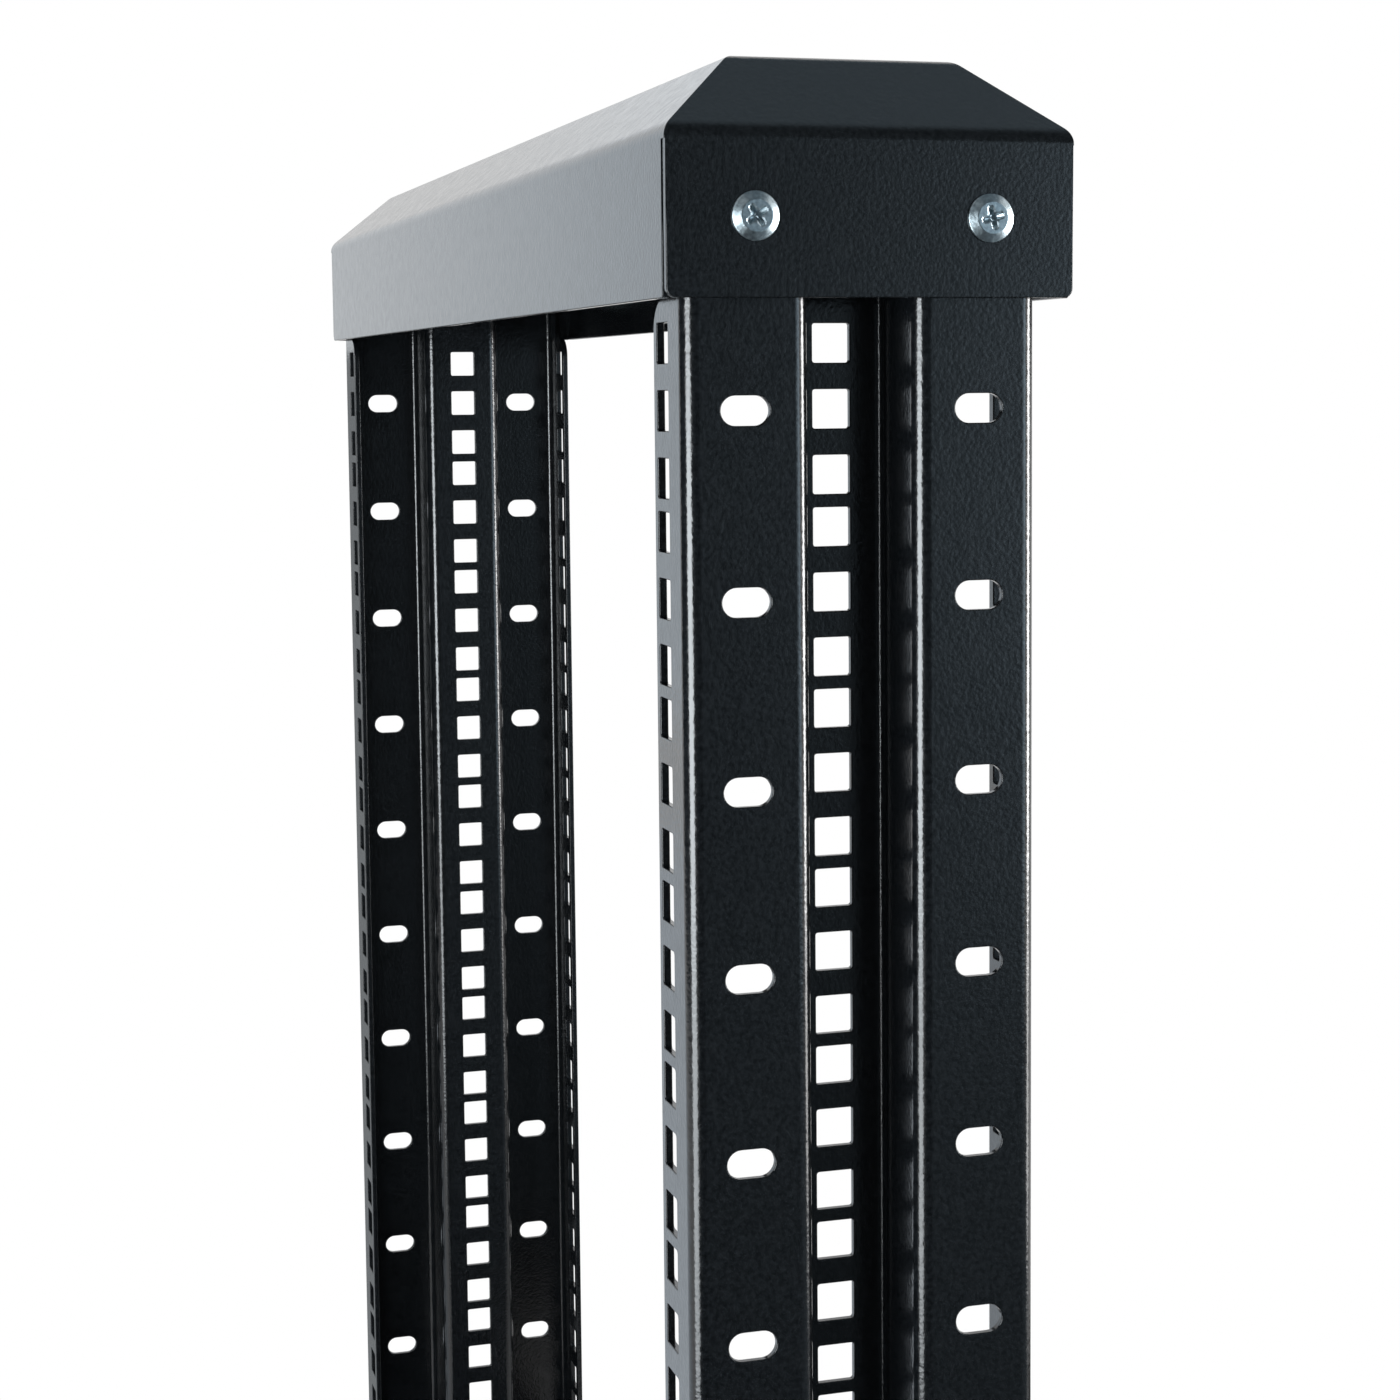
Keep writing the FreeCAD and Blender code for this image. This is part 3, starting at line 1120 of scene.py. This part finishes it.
    def draft(self) -> MeshDraft:
        """Builds the whole sheet.

        Returns:
            The mesh in the making, its rim at height 0.
        """
        draft = MeshDraft()
        is_open = self.corner is HoodCorner.OPEN_SEAM
        rows = self.profile()
        start = rows[0][1] - EASE if is_open else EASE
        rows.insert(0, (0.0, start, 1.0, 0.0))
        inner_rows = [
            (inset + out * self.sheet, height - rise * self.sheet, -out, -rise)
            for inset, height, out, rise in rows]
        outer = [self.ring(draft, row, False) for row in rows]
        inner = [self.ring(draft, row, True) for row in inner_rows]
        has_own_ends = bool(self.end_holes) and not is_open
        ends = [side * self.per_corner - 1 for side in self.TAB_SIDES] if has_own_ends else []
        for face in (outer, inner):
            draft.ribbon(face[0], face[1], skip=ends)
            draft.skin(face[1:])
        top = SheetPlane(UP * rows[-1][1], RIGHT, BACK, UP)
        holes = [round_hole(*place) for place in self.top_holes]
        punched(draft, top, self.sheet, (outer[-1][0], inner[-1][0]), holes)
        if is_open:
            self.open_walls(draft, outer[0][0], inner[0][0], start)
        else:
            self.closed_walls(draft, outer, inner)
        return draft


@dataclass(frozen=True)
class EndScrew:
    """A zinc-plated cross-recess screw with a low conical head and a nut, out of the sheet along +Z."""

    head_radius: float = 0.00575
    head_height: float = 0.0019
    head_edge: float = 0.0003
    flat_radius: float = 0.0037
    rim_height: float = 0.0007
    cone_edge: float = 0.0001
    arm_reach: float = 0.0030
    arm_half: float = 0.00090
    arm_edge: float = 0.00030
    arm_edge_slope: float = 0.6
    recess_depth: float = 0.0016
    recess_tip: float = 0.0003
    floor_reach: float = 0.50
    floor_half: float = 0.36
    shank_radius: float = 0.0030
    shank_pitch: float = 0.0010
    shank_length: float = 0.0145
    nut_width: float = 0.0100
    nut_height: float = 0.0050
    grip: float = 0.0042
    sides: int = 48

    # Corners of an arm in half widths: its root from the middle and aside,
    # its shoulder in from its end, and its end aside
    ARM_ROOT = 1.55
    ARM_ROOT_ASIDE = 1.15
    ARM_SHOULDER = 0.5
    ARM_END_ASIDE = 0.45

    def recess_ring(self, reach: float, half: float) -> list[Vector]:
        """The outline of a cross.

        Args:
            reach: How far its arms reach from the middle.
            half: Half the width of an arm.

        Returns:
            The outline's corners in order.
        """
        one_side = [
            (half * self.ARM_ROOT, half * self.ARM_ROOT_ASIDE),
            (reach - half * self.ARM_SHOULDER, half),
            (reach, half * self.ARM_END_ASIDE),
        ]
        corners = [(x, -y) for x, y in one_side] + one_side[::-1]
        turns = [Matrix.Rotation(arm * math.pi / 2, 3, "Z") for arm in range(4)]
        return [turn @ Vector((x, y, 0.0)) for turn in turns for x, y in corners]

    def recess(self, draft: MeshDraft) -> None:
        """Adds the flat of the head with the cross sunk in it.

        Args:
            draft: The mesh in the making.
        """
        top = self.head_height
        floor = top - self.recess_depth
        outline = draft.circle(self.flat_radius - self.cone_edge, top, self.sides)
        levels = (
            (self.arm_reach, self.arm_half, top),
            (self.arm_reach - self.arm_edge, self.arm_half - self.arm_edge,
             top - self.arm_edge * self.arm_edge_slope),
            (self.arm_reach * self.floor_reach, self.arm_half * self.floor_half, floor),
        )
        rings = [
            [draft.point(place + UP * height) for place in self.recess_ring(reach, half)]
            for reach, half, height in levels]
        draft.patch([outline, rings[0]], UP)
        steps = [(step, (step + 1) % len(rings[0])) for step in range(len(rings[0]))]
        for upper, lower in zip(rings, rings[1:]):
            for here, there in steps:
                draft.upward_face((upper[here], upper[there], lower[there], lower[here]))
        tip = draft.point(UP * (floor - self.recess_tip))
        for here, there in steps:
            draft.upward_face((rings[-1][here], rings[-1][there], tip))

    def draft(self) -> MeshDraft:
        """Builds the screw.

        Returns:
            The mesh in the making, its head's underside at height 0.
        """
        draft = MeshDraft()
        radius, top, flat = self.head_radius, self.head_height, self.flat_radius
        rim, edge, fine = self.rim_height, self.head_edge, self.cone_edge
        slant = Vector((top - rim, radius - flat)).normalized()
        turned(draft, (
            (radius - edge, 0.0, 0.0, -1.0), (radius, edge, 1.0, 0.0), (radius, rim - fine, 1.0, 0.0),
            (radius - 2 * fine, rim + fine, slant.x, slant.y),
            (flat + 2 * fine, top - fine, slant.x, slant.y), (flat - fine, top, 0.0, 1.0)), self.sides)
        self.recess(draft)
        draft.flat_face(draft.circle(radius - edge, 0.0, self.sides), -UP)
        ThreadedRod(self.shank_radius, self.shank_pitch, -self.shank_length, 0.0).add_to(draft)
        hexagon(draft, self.nut_width, -self.grip - self.nut_height, -self.grip)
        return draft


@dataclass
class ScrewedSheet(SheetPart):
    """A folded sheet across a portal, with two screws in each end, at a height from its rim."""

    portal: Portal
    screw_hole: float = 0.0066
    screw_spacing: float = 0.0580
    screw_height: float = 0.018575

    def end_holes(self) -> list[Triple]:
        """Places and sizes of the screw holes in an end, from the middle of its rim."""
        aside = self.screw_spacing / 2
        return [(side * aside, self.screw_height, self.screw_hole) for side in (-1, 1)]


@dataclass
class TopCap(ScrewedSheet):
    """The hipped cap over a portal's upright tops."""

    slope_run: float = 0.0220
    slope_rise: float = 0.0190
    bend: float = 0.0032

    def __post_init__(self) -> None:
        """Reads the cap's outer sizes from its solid."""
        self.measure(f"top_cap_{self.portal.value}")

    def build(self) -> bpy.types.Object:
        """Builds the cap.

        Returns:
            The piece, in place.
        """
        hood = FoldedHood(
            self.size.x, self.size.y, self.size.z - self.slope_rise, self.slope_run, self.slope_rise,
            HoodCorner.OPEN_SEAM, end_holes=self.end_holes(), bend=self.bend)
        place = Matrix.Translation((self.middle.x, self.middle.y, self.low.z))
        return hood.draft().piece(f"hipped_cap_{self.portal.value}", place)


@dataclass
class BaseSill(ScrewedSheet):
    """The tray that a portal's feet stand in, bolted down on the rails."""

    bolt_hole: float = 0.0090
    bolt_x: float = 0.2070
    bolt_spacing: float = 0.0500

    def __post_init__(self) -> None:
        """Reads the sill's outer sizes from its solid."""
        self.measure(f"base_sill_{self.portal.value}")

    def bolt_places(self) -> list[tuple[float, float]]:
        """Where the bolts stand, from the sill's middle."""
        return [(x * self.bolt_x, y * self.bolt_spacing / 2) for x in (-1, 1) for y in (-1, 1)]

    def build(self) -> bpy.types.Object:
        """Builds the sill.

        Returns:
            The piece, in place.
        """
        bolts = [(x, y, self.bolt_hole) for x, y in self.bolt_places()]
        hood = FoldedHood(*self.size, end_holes=self.end_holes(), top_holes=bolts)
        turn = Matrix.Rotation(math.pi, 4, "X")
        place = Matrix.Translation((self.middle.x, self.middle.y, self.high.z)) @ turn
        return hood.draft().piece(f"folded_sill_{self.portal.value}", place)


@dataclass
class BaseRail(SheetPart):
    """A base rail, a downward-open channel with closed ends."""

    side: Side
    bolt_hole: float = 0.0090
    stud_hole: float = 0.0110
    stud_inset: float = 0.0250

    def __post_init__(self) -> None:
        """Reads the rail's outer sizes from its solid."""
        self.measure(f"base_rail_{self.side.value}")

    def build(self, bolts: Sequence[Vector]) -> bpy.types.Object:
        """Builds the rail.

        Args:
            bolts: Where all bolts of the sills stand.

        Returns:
            The piece, in place.
        """
        holes = []
        for bolt in bolts:
            if self.low.x < bolt.x < self.high.x:
                holes.append((bolt.y - self.middle.y, self.middle.x - bolt.x, self.bolt_hole))
        reach = self.size.y / 2 - self.stud_inset
        holes += [(end * reach, 0.0, self.stud_hole) for end in (-1, 1)]
        hood = FoldedHood(self.size.y, self.size.x, self.size.z, top_holes=holes)
        turn = Matrix.Rotation(math.pi / 2, 4, "Z")
        place = Matrix.Translation((self.middle.x, self.middle.y, self.low.z)) @ turn
        return hood.draft().piece(f"channel_rail_{self.side.value}", place)


class Fasteners:
    """A set of zinc-plated fasteners in one piece."""

    def dress(self, piece: bpy.types.Object, zinc: Dressing) -> None:
        """Plates the fasteners."""
        zinc.dress(piece)


@dataclass
class EndScrews(Fasteners):
    """The four screws that hold a cap or a sill to its uprights, each with its own turn."""

    name: str
    node: str
    height: float
    spacing: float = 0.0580
    turns: tuple[float, ...] = (0.38, 0.16, 0.62, 0.27)

    def build(self) -> bpy.types.Object:
        """Builds the screws.

        Returns:
            One piece with all four, in place.
        """
        low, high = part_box(self.node)
        middle = (low.y + high.y) / 2
        draft = MeshDraft()
        screw = EndScrew().draft()
        turns = iter(self.turns)
        for face, way in ((low.x, -1.0), (high.x, 1.0)):
            for side in (-1, 1):
                spin = Matrix.Rotation(next(turns), 4, "Z")
                turn = Matrix.Rotation(way * math.pi / 2, 4, "Y")
                spot = Vector((face, middle + side * self.spacing / 2, self.height))
                draft.extend(screw, Matrix.Translation(spot) @ turn @ spin)
        return draft.piece(self.name)


@dataclass
class SillBolts(Fasteners):
    """The hexagon bolts, washers and nuts that hold a sill to both rails."""

    sill: BaseSill
    washer_radius: float = 0.0080
    washer_height: float = 0.0016
    washer_edge: float = 0.0002
    washer_sides: int = 48
    head_width: float = 0.0130
    head_height: float = 0.0053
    nut_height: float = 0.0065
    shank_radius: float = 0.0040
    shank_pitch: float = 0.00125
    shank_end: float = 0.0150
    sheets: float = 0.0040
    first_turn: float = 0.4
    turn_step: float = 0.7

    def washer(self, draft: MeshDraft, low: float) -> None:
        """Adds a washer with eased edges.

        Args:
            draft: The mesh in the making.
            low: Height of its underside.
        """
        r, high, e = self.washer_radius, low + self.washer_height, self.washer_edge
        b = self.shank_radius
        turned(draft, (
            (b, low, 0.0, -1.0), (r - e, low, 0.0, -1.0), (r, low + e, 1.0, 0.0),
            (r, high - e, 1.0, 0.0), (r - e, high, 0.0, 1.0), (b, high, 0.0, 1.0)), self.washer_sides)
        turned(draft, ((b, low, -1.0, 0.0), (b, high, -1.0, 0.0)), self.washer_sides)

    def build(self) -> bpy.types.Object:
        """Builds the bolts.

        Returns:
            One piece with all of them, in place.
        """
        one = MeshDraft()
        top, under = self.sheets / 2, -self.sheets / 2
        head_low, nut_top = top + self.washer_height, under - self.washer_height
        self.washer(one, top)
        hexagon(one, self.head_width, head_low, head_low + self.head_height, both_eased=False)
        self.washer(one, nut_top)
        hexagon(one, self.head_width, nut_top - self.nut_height, nut_top)
        ThreadedRod(self.shank_radius, self.shank_pitch, under - self.shank_end, top).add_to(one)
        draft = MeshDraft()
        middle = self.sill.middle
        for order, (x, y) in enumerate(self.sill.bolt_places()):
            spot = Vector((middle.x + x, middle.y + y, self.sill.low.z))
            turn = Matrix.Rotation(self.first_turn + self.turn_step * order, 4, "Z")
            draft.extend(one, Matrix.Translation(spot) @ turn)
        return draft.piece(f"sill_bolts_{self.sill.portal.value}")


@dataclass
class LevellingFoot:
    """A levelling foot: a turned pad, a threaded stud and the nut that carries the rail."""

    portal: Portal
    side: Side
    stud_radius: float = 0.0050
    stud_pitch: float = 0.0015
    nut_width: float = 0.0170
    rim_height: float = 0.0040
    rim_edge: float = 0.0008
    boss_radius: float = 0.0090
    boss_edge: float = 0.0005
    seat_radius: float = 0.00515
    seat_edge: float = 0.0004
    seat_depth: float = 0.0080
    middle_radius: float = 0.0005
    sides: int = 64

    def __post_init__(self) -> None:
        """Reads where the foot stands from its pad's solid."""
        self.tail = f"{self.portal.value}_{self.side.value}"
        low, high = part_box(f"foot_pad_{self.tail}")
        self.place = Matrix.Translation(((low.x + high.x) / 2, (low.y + high.y) / 2, 0.0))
        self.pad_radius = (high.y - low.y) / 2
        self.pad_height = high.z

    def pad(self) -> bpy.types.Object:
        """Builds the pad, tapered flank and boss included.

        Returns:
            The piece, in place.
        """
        draft = MeshDraft()
        r, b, s, h = self.pad_radius, self.boss_radius, self.seat_radius, self.pad_height
        e, boss_e, seat_e = self.rim_edge, self.boss_edge, self.seat_edge
        rim, taper_top, seat = self.rim_height, h - self.rim_height / 2, h - self.seat_depth
        run, rise = r - b, taper_top - rim
        drop = e * rise / run
        turned(draft, (
            (self.middle_radius, 0.0, 0.0, -1.0), (r - e, 0.0, 0.0, -1.0), (r, e, 1.0, 0.0),
            (r, rim - e, 1.0, 0.0), (r - e, rim + drop, rise, run),
            (b + e, taper_top - drop, rise, run), (b, taper_top + e, 1.0, 0.0),
            (b, h - boss_e, 1.0, 0.0), (b - boss_e, h, 0.0, 1.0),
            (s + seat_e, h, 0.0, 1.0), (s, h - seat_e, -1.0, 0.0), (s, seat, -1.0, 0.0)), self.sides)
        turned(draft, ((s, seat, 0.0, 1.0), (self.middle_radius, seat, 0.0, 1.0)), self.sides)
        for height, way in ((0.0, -UP), (seat, UP)):
            draft.flat_face(draft.circle(self.middle_radius, height, self.sides), way)
        return draft.piece(f"levelling_pad_{self.tail}", self.place)

    def stud(self) -> bpy.types.Object:
        """Builds the threaded stud.

        Returns:
            The piece, in place.
        """
        low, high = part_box(f"foot_stud_{self.tail}")
        draft = MeshDraft()
        ThreadedRod(self.stud_radius, self.stud_pitch, low.z, high.z).add_to(draft)
        return draft.piece(f"levelling_stud_{self.tail}", self.place)

    def nut(self) -> bpy.types.Object:
        """Builds the nut.

        Returns:
            The piece, in place.
        """
        low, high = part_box(f"foot_nut_{self.tail}")
        draft = MeshDraft()
        hexagon(draft, self.nut_width, low.z, high.z, self.stud_radius)
        return draft.piece(f"levelling_nut_{self.tail}", self.place)

    def build(self) -> dict[str, bpy.types.Object]:
        """Builds the foot's three pieces by the kinds of their solids."""
        return {"pad": self.pad(), "stud": self.stud(), "nut": self.nut()}

    def dress(self, pieces: dict[str, bpy.types.Object], zinc: Dressing, plastic: Dressing) -> None:
        """Gives the pad its plastic, and the stud and nut their plate.

        Args:
            pieces: The pieces by the kinds of their solids.
            zinc: Finish of the stud and the nut.
            plastic: Finish of the pad.
        """
        for kind, piece in pieces.items():
            finish = plastic if kind == "pad" else zinc
            finish.dress(piece, f"foot_{kind}_{self.tail}")


@dataclass(frozen=True)
class PhotoCamera:
    """The camera of the photograph, as its rack holes place it."""

    place: Triple = (0.82571, -0.51039, 0.56684)
    yaw: float = 0.2929
    pitch: float = -0.0889
    roll: float = -0.0093
    focal_pixels: float = 2608.72
    centre_x_pixels: float = 715.44
    centre_y_pixels: float = 619.75
    sensor: float = 36.0
    nearest: float = 0.01

    def build(self) -> bpy.types.Object:
        """Makes the camera.

        Returns:
            The camera, set as the scene's own.
        """
        level = math.cos(self.pitch)
        ahead = Vector((-math.cos(self.yaw) * level, math.sin(self.yaw) * level, math.sin(self.pitch)))
        flat_right = ahead.cross(UP).normalized()
        flat_up = flat_right.cross(ahead)
        c, s = math.cos(self.roll), math.sin(self.roll)
        right, up = flat_right * c + flat_up * s, flat_up * c - flat_right * s
        data = bpy.data.cameras.new("photo_camera")
        data.sensor_fit = "HORIZONTAL"
        data.sensor_width = self.sensor
        data.lens = self.focal_pixels / PHOTO_SIDE * self.sensor
        data.shift_x = 0.5 - self.centre_x_pixels / PHOTO_SIDE
        data.shift_y = self.centre_y_pixels / PHOTO_SIDE - 0.5
        data.clip_start = self.nearest
        camera = bpy.data.objects.new("photo_camera", data)
        turn = Matrix((right, up, -ahead)).transposed().to_4x4()
        camera.matrix_world = Matrix.Translation(self.place) @ turn
        bpy.context.scene.collection.objects.link(camera)
        bpy.context.scene.camera = camera
        return camera


@dataclass(frozen=True)
class SoftBox:
    """A large soft lamp that looks at a point."""

    name: str
    place: Triple
    target: Triple
    width: float
    height: float
    radiance: float
    tint: Triple = (1.0, 1.0, 1.0)

    def build(self) -> bpy.types.Object:
        """Makes the lamp.

        Returns:
            The lamp, hidden from the camera.
        """
        data = bpy.data.lights.new(self.name, "AREA")
        data.shape = "RECTANGLE"
        data.size = self.width
        data.size_y = self.height
        data.energy = self.radiance * math.pi * self.width * self.height
        data.color = self.tint
        lamp = bpy.data.objects.new(self.name, data)
        look = Vector(self.target) - Vector(self.place)
        turn = look.to_track_quat("-Z", "Y").to_matrix().to_4x4()
        lamp.matrix_world = Matrix.Translation(self.place) @ turn
        lamp.visible_camera = False
        bpy.context.scene.collection.objects.link(lamp)
        return lamp


def rectangle(middle: Triple, half_across: Triple, half_up: Triple) -> list[Vector]:
    """The corners of a rectangle in order.

    Args:
        middle: Its middle.
        half_across: From there to the middle of one side.
        half_up: From there to the middle of the next side.

    Returns:
        The four corners.
    """
    centre, across, up = Vector(middle), Vector(half_across), Vector(half_up)
    return [centre + across * x + up * y for x, y in ((-1, -1), (1, -1), (1, 1), (-1, 1))]


@dataclass(frozen=True)
class FlagPanel:
    """A dim glowing panel that keeps the white of the studio out of some reflections.

    Its levels are pairs of a place along the panel's width and the radiance there.
    """

    name: str
    middle: Triple
    half_across: Triple
    half_up: Triple
    levels: tuple[tuple[float, float], ...]
    tint: Triple = (0.78, 1.0, 1.17)

    def strength(self, tree: MaterialNodes) -> bpy.types.NodeSocket | float:
        """The panel's radiance, graded along its width.

        Args:
            tree: The nodes of its material.

        Returns:
            The graded radiance, or a number if it has one level only.
        """
        if len(self.levels) == 1:
            return self.levels[0][1]
        axis = max(range(3), key=lambda index: self.half_across[index])
        along = tree.add("ShaderNodeSeparateXYZ", {0: tree.place}).outputs[axis]
        total = None
        for (start, low), (end, high) in zip(self.levels, self.levels[1:]):
            rise = (low, high) if total is None else (0.0, high - low)
            step = tree.ranged(along, (start, end), rise).outputs["Result"]
            if total is None:
                total = step
            else:
                total = tree.add("ShaderNodeMath", {0: total, 1: step}, "ADD").outputs["Value"]
        return total

    def material(self) -> bpy.types.Material:
        """Makes the panel's glow.

        Returns:
            A material that only glows.
        """
        tree = MaterialNodes(f"{self.name}_glow")
        inputs = {"Color": (*self.tint, 1.0), "Strength": self.strength(tree)}
        glow = tree.add("ShaderNodeEmission", inputs)
        tree.feed(tree.output, {"Surface": glow.outputs[0]})
        return tree.material


@dataclass(frozen=True)
class Stage:
    """The white studio: floor, flag panels, soft lamps and surroundings."""

    floor_half: float = 6.0
    floor_drop: float = 0.0003
    floor_grey: float = 0.82
    floor_roughness: float = 0.9
    fade_start: float = 0.06
    fade_end: float = 0.18
    fill: float = 0.50

    LAMPS = (
        SoftBox(
            "wall_softbox", (-2.5, -1.45, 0.80), (0.2, -0.35, 0.60),
            1.0, 1.4, 0.31, (0.30, 0.67, 1.0)),
        SoftBox(
            "far_wall_softbox", (-2.5, -0.68, 0.80), (0.0, -0.35, 0.60),
            0.62, 1.4, 0.14, (0.40, 0.72, 1.0)),
        SoftBox(
            "slope_softbox", (-2.5, 0.05, 1.70), (0.2, -0.32, 0.64),
            1.0, 0.8, 0.27, (0.60, 0.80, 1.0)),
        SoftBox(
            "camera_strip", (0.59, -1.01, 0.30), (0.25, -0.34, 0.30),
            0.46, 0.60, 7.0, (0.90, 0.96, 1.0)),
        SoftBox(
            "upper_strip", (0.596, -1.022, 0.52), (0.25, -0.34, 0.52),
            0.46, 0.50, 6.4, (0.90, 0.96, 1.0)),
        SoftBox("far_strip", (0.45, 0.80, 0.42), (0.25, -0.31, 0.42), 0.36, 0.84, 5.3),
        SoftBox("far_upper_strip", (0.452, 0.81, 0.54), (0.25, -0.31, 0.54), 0.36, 0.61, 12.7),
    )
    PANELS = (
        FlagPanel(
            "camera_panel", (1.90, -0.45, 0.625), (0.0, 2.15, 0.0), (0.0, 0.0, 0.325),
            ((-0.60, 0.048), (0.05, 0.075), (0.42, 0.32), (0.72, 1.20), (1.60, 4.00))),
        FlagPanel(
            "lower_panel", (1.90, -0.45, 0.15), (0.0, 2.15, 0.0), (0.0, 0.0, 0.15),
            ((-0.60, 0.035), (0.05, 0.054), (0.42, 0.23), (0.72, 0.86), (1.60, 2.90))),
        FlagPanel(
            "upper_panel", (1.90, -0.45, 1.775), (0.0, 0.0, 0.825), (0.0, 2.15, 0.0),
            ((0.95, 0.11), (1.25, 0.085))),
        FlagPanel(
            "front_panel", (0.20, -2.00, 1.20), (1.70, 0.0, 0.0), (0.0, 0.0, 1.20),
            ((0.0, 0.035),)),
        FlagPanel(
            "overhead_panel", (-0.375, 0.40, 2.60), (0.825, 0.0, 0.0), (0.0, 1.40, 0.0),
            ((0.0, 0.34),)),
        FlagPanel(
            "ceiling_panel", (1.175, 0.40, 2.60), (0.725, 0.0, 0.0), (0.0, 1.40, 0.0),
            ((0.45, 0.32), (0.90, 0.16), (1.40, 0.085))),
        FlagPanel(
            "floor_panel", (1.10, 0.0, 0.002), (0.0, 1.20, 0.0), (0.80, 0.0, 0.0),
            ((-0.30, 0.025), (0.50, 0.19))),
        FlagPanel(
            "front_floor_panel", (-1.20, -0.85, 0.002), (1.20, 0.0, 0.0), (0.0, 0.45, 0.0),
            ((0.0, 1.06),), (0.91, 1.0, 1.09)),
        FlagPanel(
            "low_panel", (-0.50, -0.404, 0.293), (0.0, 0.058, 0.0), (0.0, 0.0, 0.293),
            ((0.0, 0.38),), (0.94, 1.0, 1.04)),
    )

    def floor_material(self) -> bpy.types.Material:
        """White that keeps the rack's shadow near it and is plain white further out.

        Returns:
            The material.
        """
        tree = MaterialNodes("floor_white")
        grey = self.floor_grey
        tree.feed(tree.shader, {
            "Base Color": (grey, grey, grey, 1.0),
            "Roughness": self.floor_roughness,
            "Specular IOR Level": 0.0,
        })
        footprint = (CAD_BOX[1].x, CAD_BOX[1].y, 0.0)
        vector_math = "ShaderNodeVectorMath"
        away = tree.add(vector_math, {0: tree.place}, "ABSOLUTE").outputs["Vector"]
        beyond = tree.add(vector_math, {0: away, 1: footprint}, "SUBTRACT").outputs["Vector"]
        outside = tree.add(vector_math, {0: beyond}, "MAXIMUM").outputs["Vector"]
        reach = tree.add(vector_math, {0: outside}, "LENGTH").outputs["Value"]
        fade = tree.ranged(reach, (self.fade_start, self.fade_end), (0.0, 1.0))
        fade.interpolation_type = "SMOOTHSTEP"
        share = tree.add("ShaderNodeMath", {0: fade.outputs["Result"], 1: tree.seen()}, "MULTIPLY")
        white = tree.add("ShaderNodeEmission", {})
        mix = tree.add("ShaderNodeMixShader", {
            0: share.outputs["Value"], 1: tree.shader.outputs[0], 2: white.outputs[0]})
        tree.feed(tree.output, {"Surface": mix.outputs[0]})
        return tree.material

    def sheet(
        self, name: str, corners: Sequence[Vector], material: bpy.types.Material
    ) -> bpy.types.Object:
        """Makes a flat stage piece.

        Args:
            name: Its name.
            corners: Its corners in order.
            material: Its material.

        Returns:
            The piece.
        """
        mesh = bpy.data.meshes.new(name)
        mesh.from_pydata(corners, [], [range(len(corners))])
        mesh.materials.append(material)
        made = bpy.data.objects.new(name, mesh)
        bpy.context.scene.collection.objects.link(made)
        return made

    def surroundings(self) -> None:
        """Makes white all round, dimmer as light on matt surfaces."""
        world = bpy.data.worlds.new("white_studio")
        world.use_nodes = True
        tree = ShaderNodes(world.node_tree)
        level = tree.ranged(tree.seen(), (0.0, 1.0), (self.fill, 1.0))
        tree.feed(tree.nodes["Background"], {
            "Color": (1.0, 1.0, 1.0, 1.0), "Strength": level.outputs["Result"]})
        bpy.context.scene.world = world

    def build(self) -> None:
        """Makes the studio."""
        half = self.floor_half
        corners = rectangle((0.0, 0.0, -self.floor_drop), (half, 0.0, 0.0), (0.0, half, 0.0))
        self.sheet("studio_floor", corners, self.floor_material())
        for flag in self.PANELS:
            corners = rectangle(flag.middle, flag.half_across, flag.half_up)
            panel = self.sheet(flag.name, corners, flag.material())
            panel.visible_camera = False
            panel.visible_diffuse = False
            panel.visible_shadow = False
        for lamp in self.LAMPS:
            lamp.build()
        self.surroundings()
        bpy.context.scene.view_settings.view_transform = "Standard"


def build_portal(portal: Portal, coat: Dressing, zinc: Dressing) -> BaseSill:
    """Builds one portal of the rack.

    Args:
        portal: Which one.
        coat: Finish of its sheets.
        zinc: Finish of its fasteners.

    Returns:
        The portal's sill.
    """
    slot_rows: list[float] = []
    for side in Side:
        upright = Upright(portal, side)
        slot_rows = upright.slot_rows
        upright.dress(upright.build(), coat)
    cap, sill = TopCap(portal), BaseSill(portal)
    for sheet in (cap, sill):
        sheet.dress(sheet.build(), coat)
    for name, node, height in (("cap", cap.node, slot_rows[-1]), ("sill", sill.node, slot_rows[0])):
        screws = EndScrews(f"{name}_screws_{portal.value}", node, height)
        screws.dress(screws.build(), zinc)
    bolts = SillBolts(sill)
    bolts.dress(bolts.build(), zinc)
    return sill


def main() -> None:
    """Builds the rack, its camera and the studio."""
    logging.basicConfig(level=logging.INFO, format="%(name)s: %(message)s")
    finishes = (PowderCoat(), ZincPlate(), MouldedPlastic())
    coat, zinc, plastic = (Dressing(finish.slot, finish.material()) for finish in finishes)
    PhotoCamera().build()
    sills = [build_portal(portal, coat, zinc) for portal in Portal]
    bolts = [sill.middle + Vector((x, y, 0.0)) for sill in sills for x, y in sill.bolt_places()]
    for side in Side:
        rail = BaseRail(side)
        rail.dress(rail.build(bolts), coat)
        for portal in Portal:
            foot = LevellingFoot(portal, side)
            foot.dress(foot.build(), zinc, plastic)
    Stage().build()


if __name__ == "__main__":
    main()
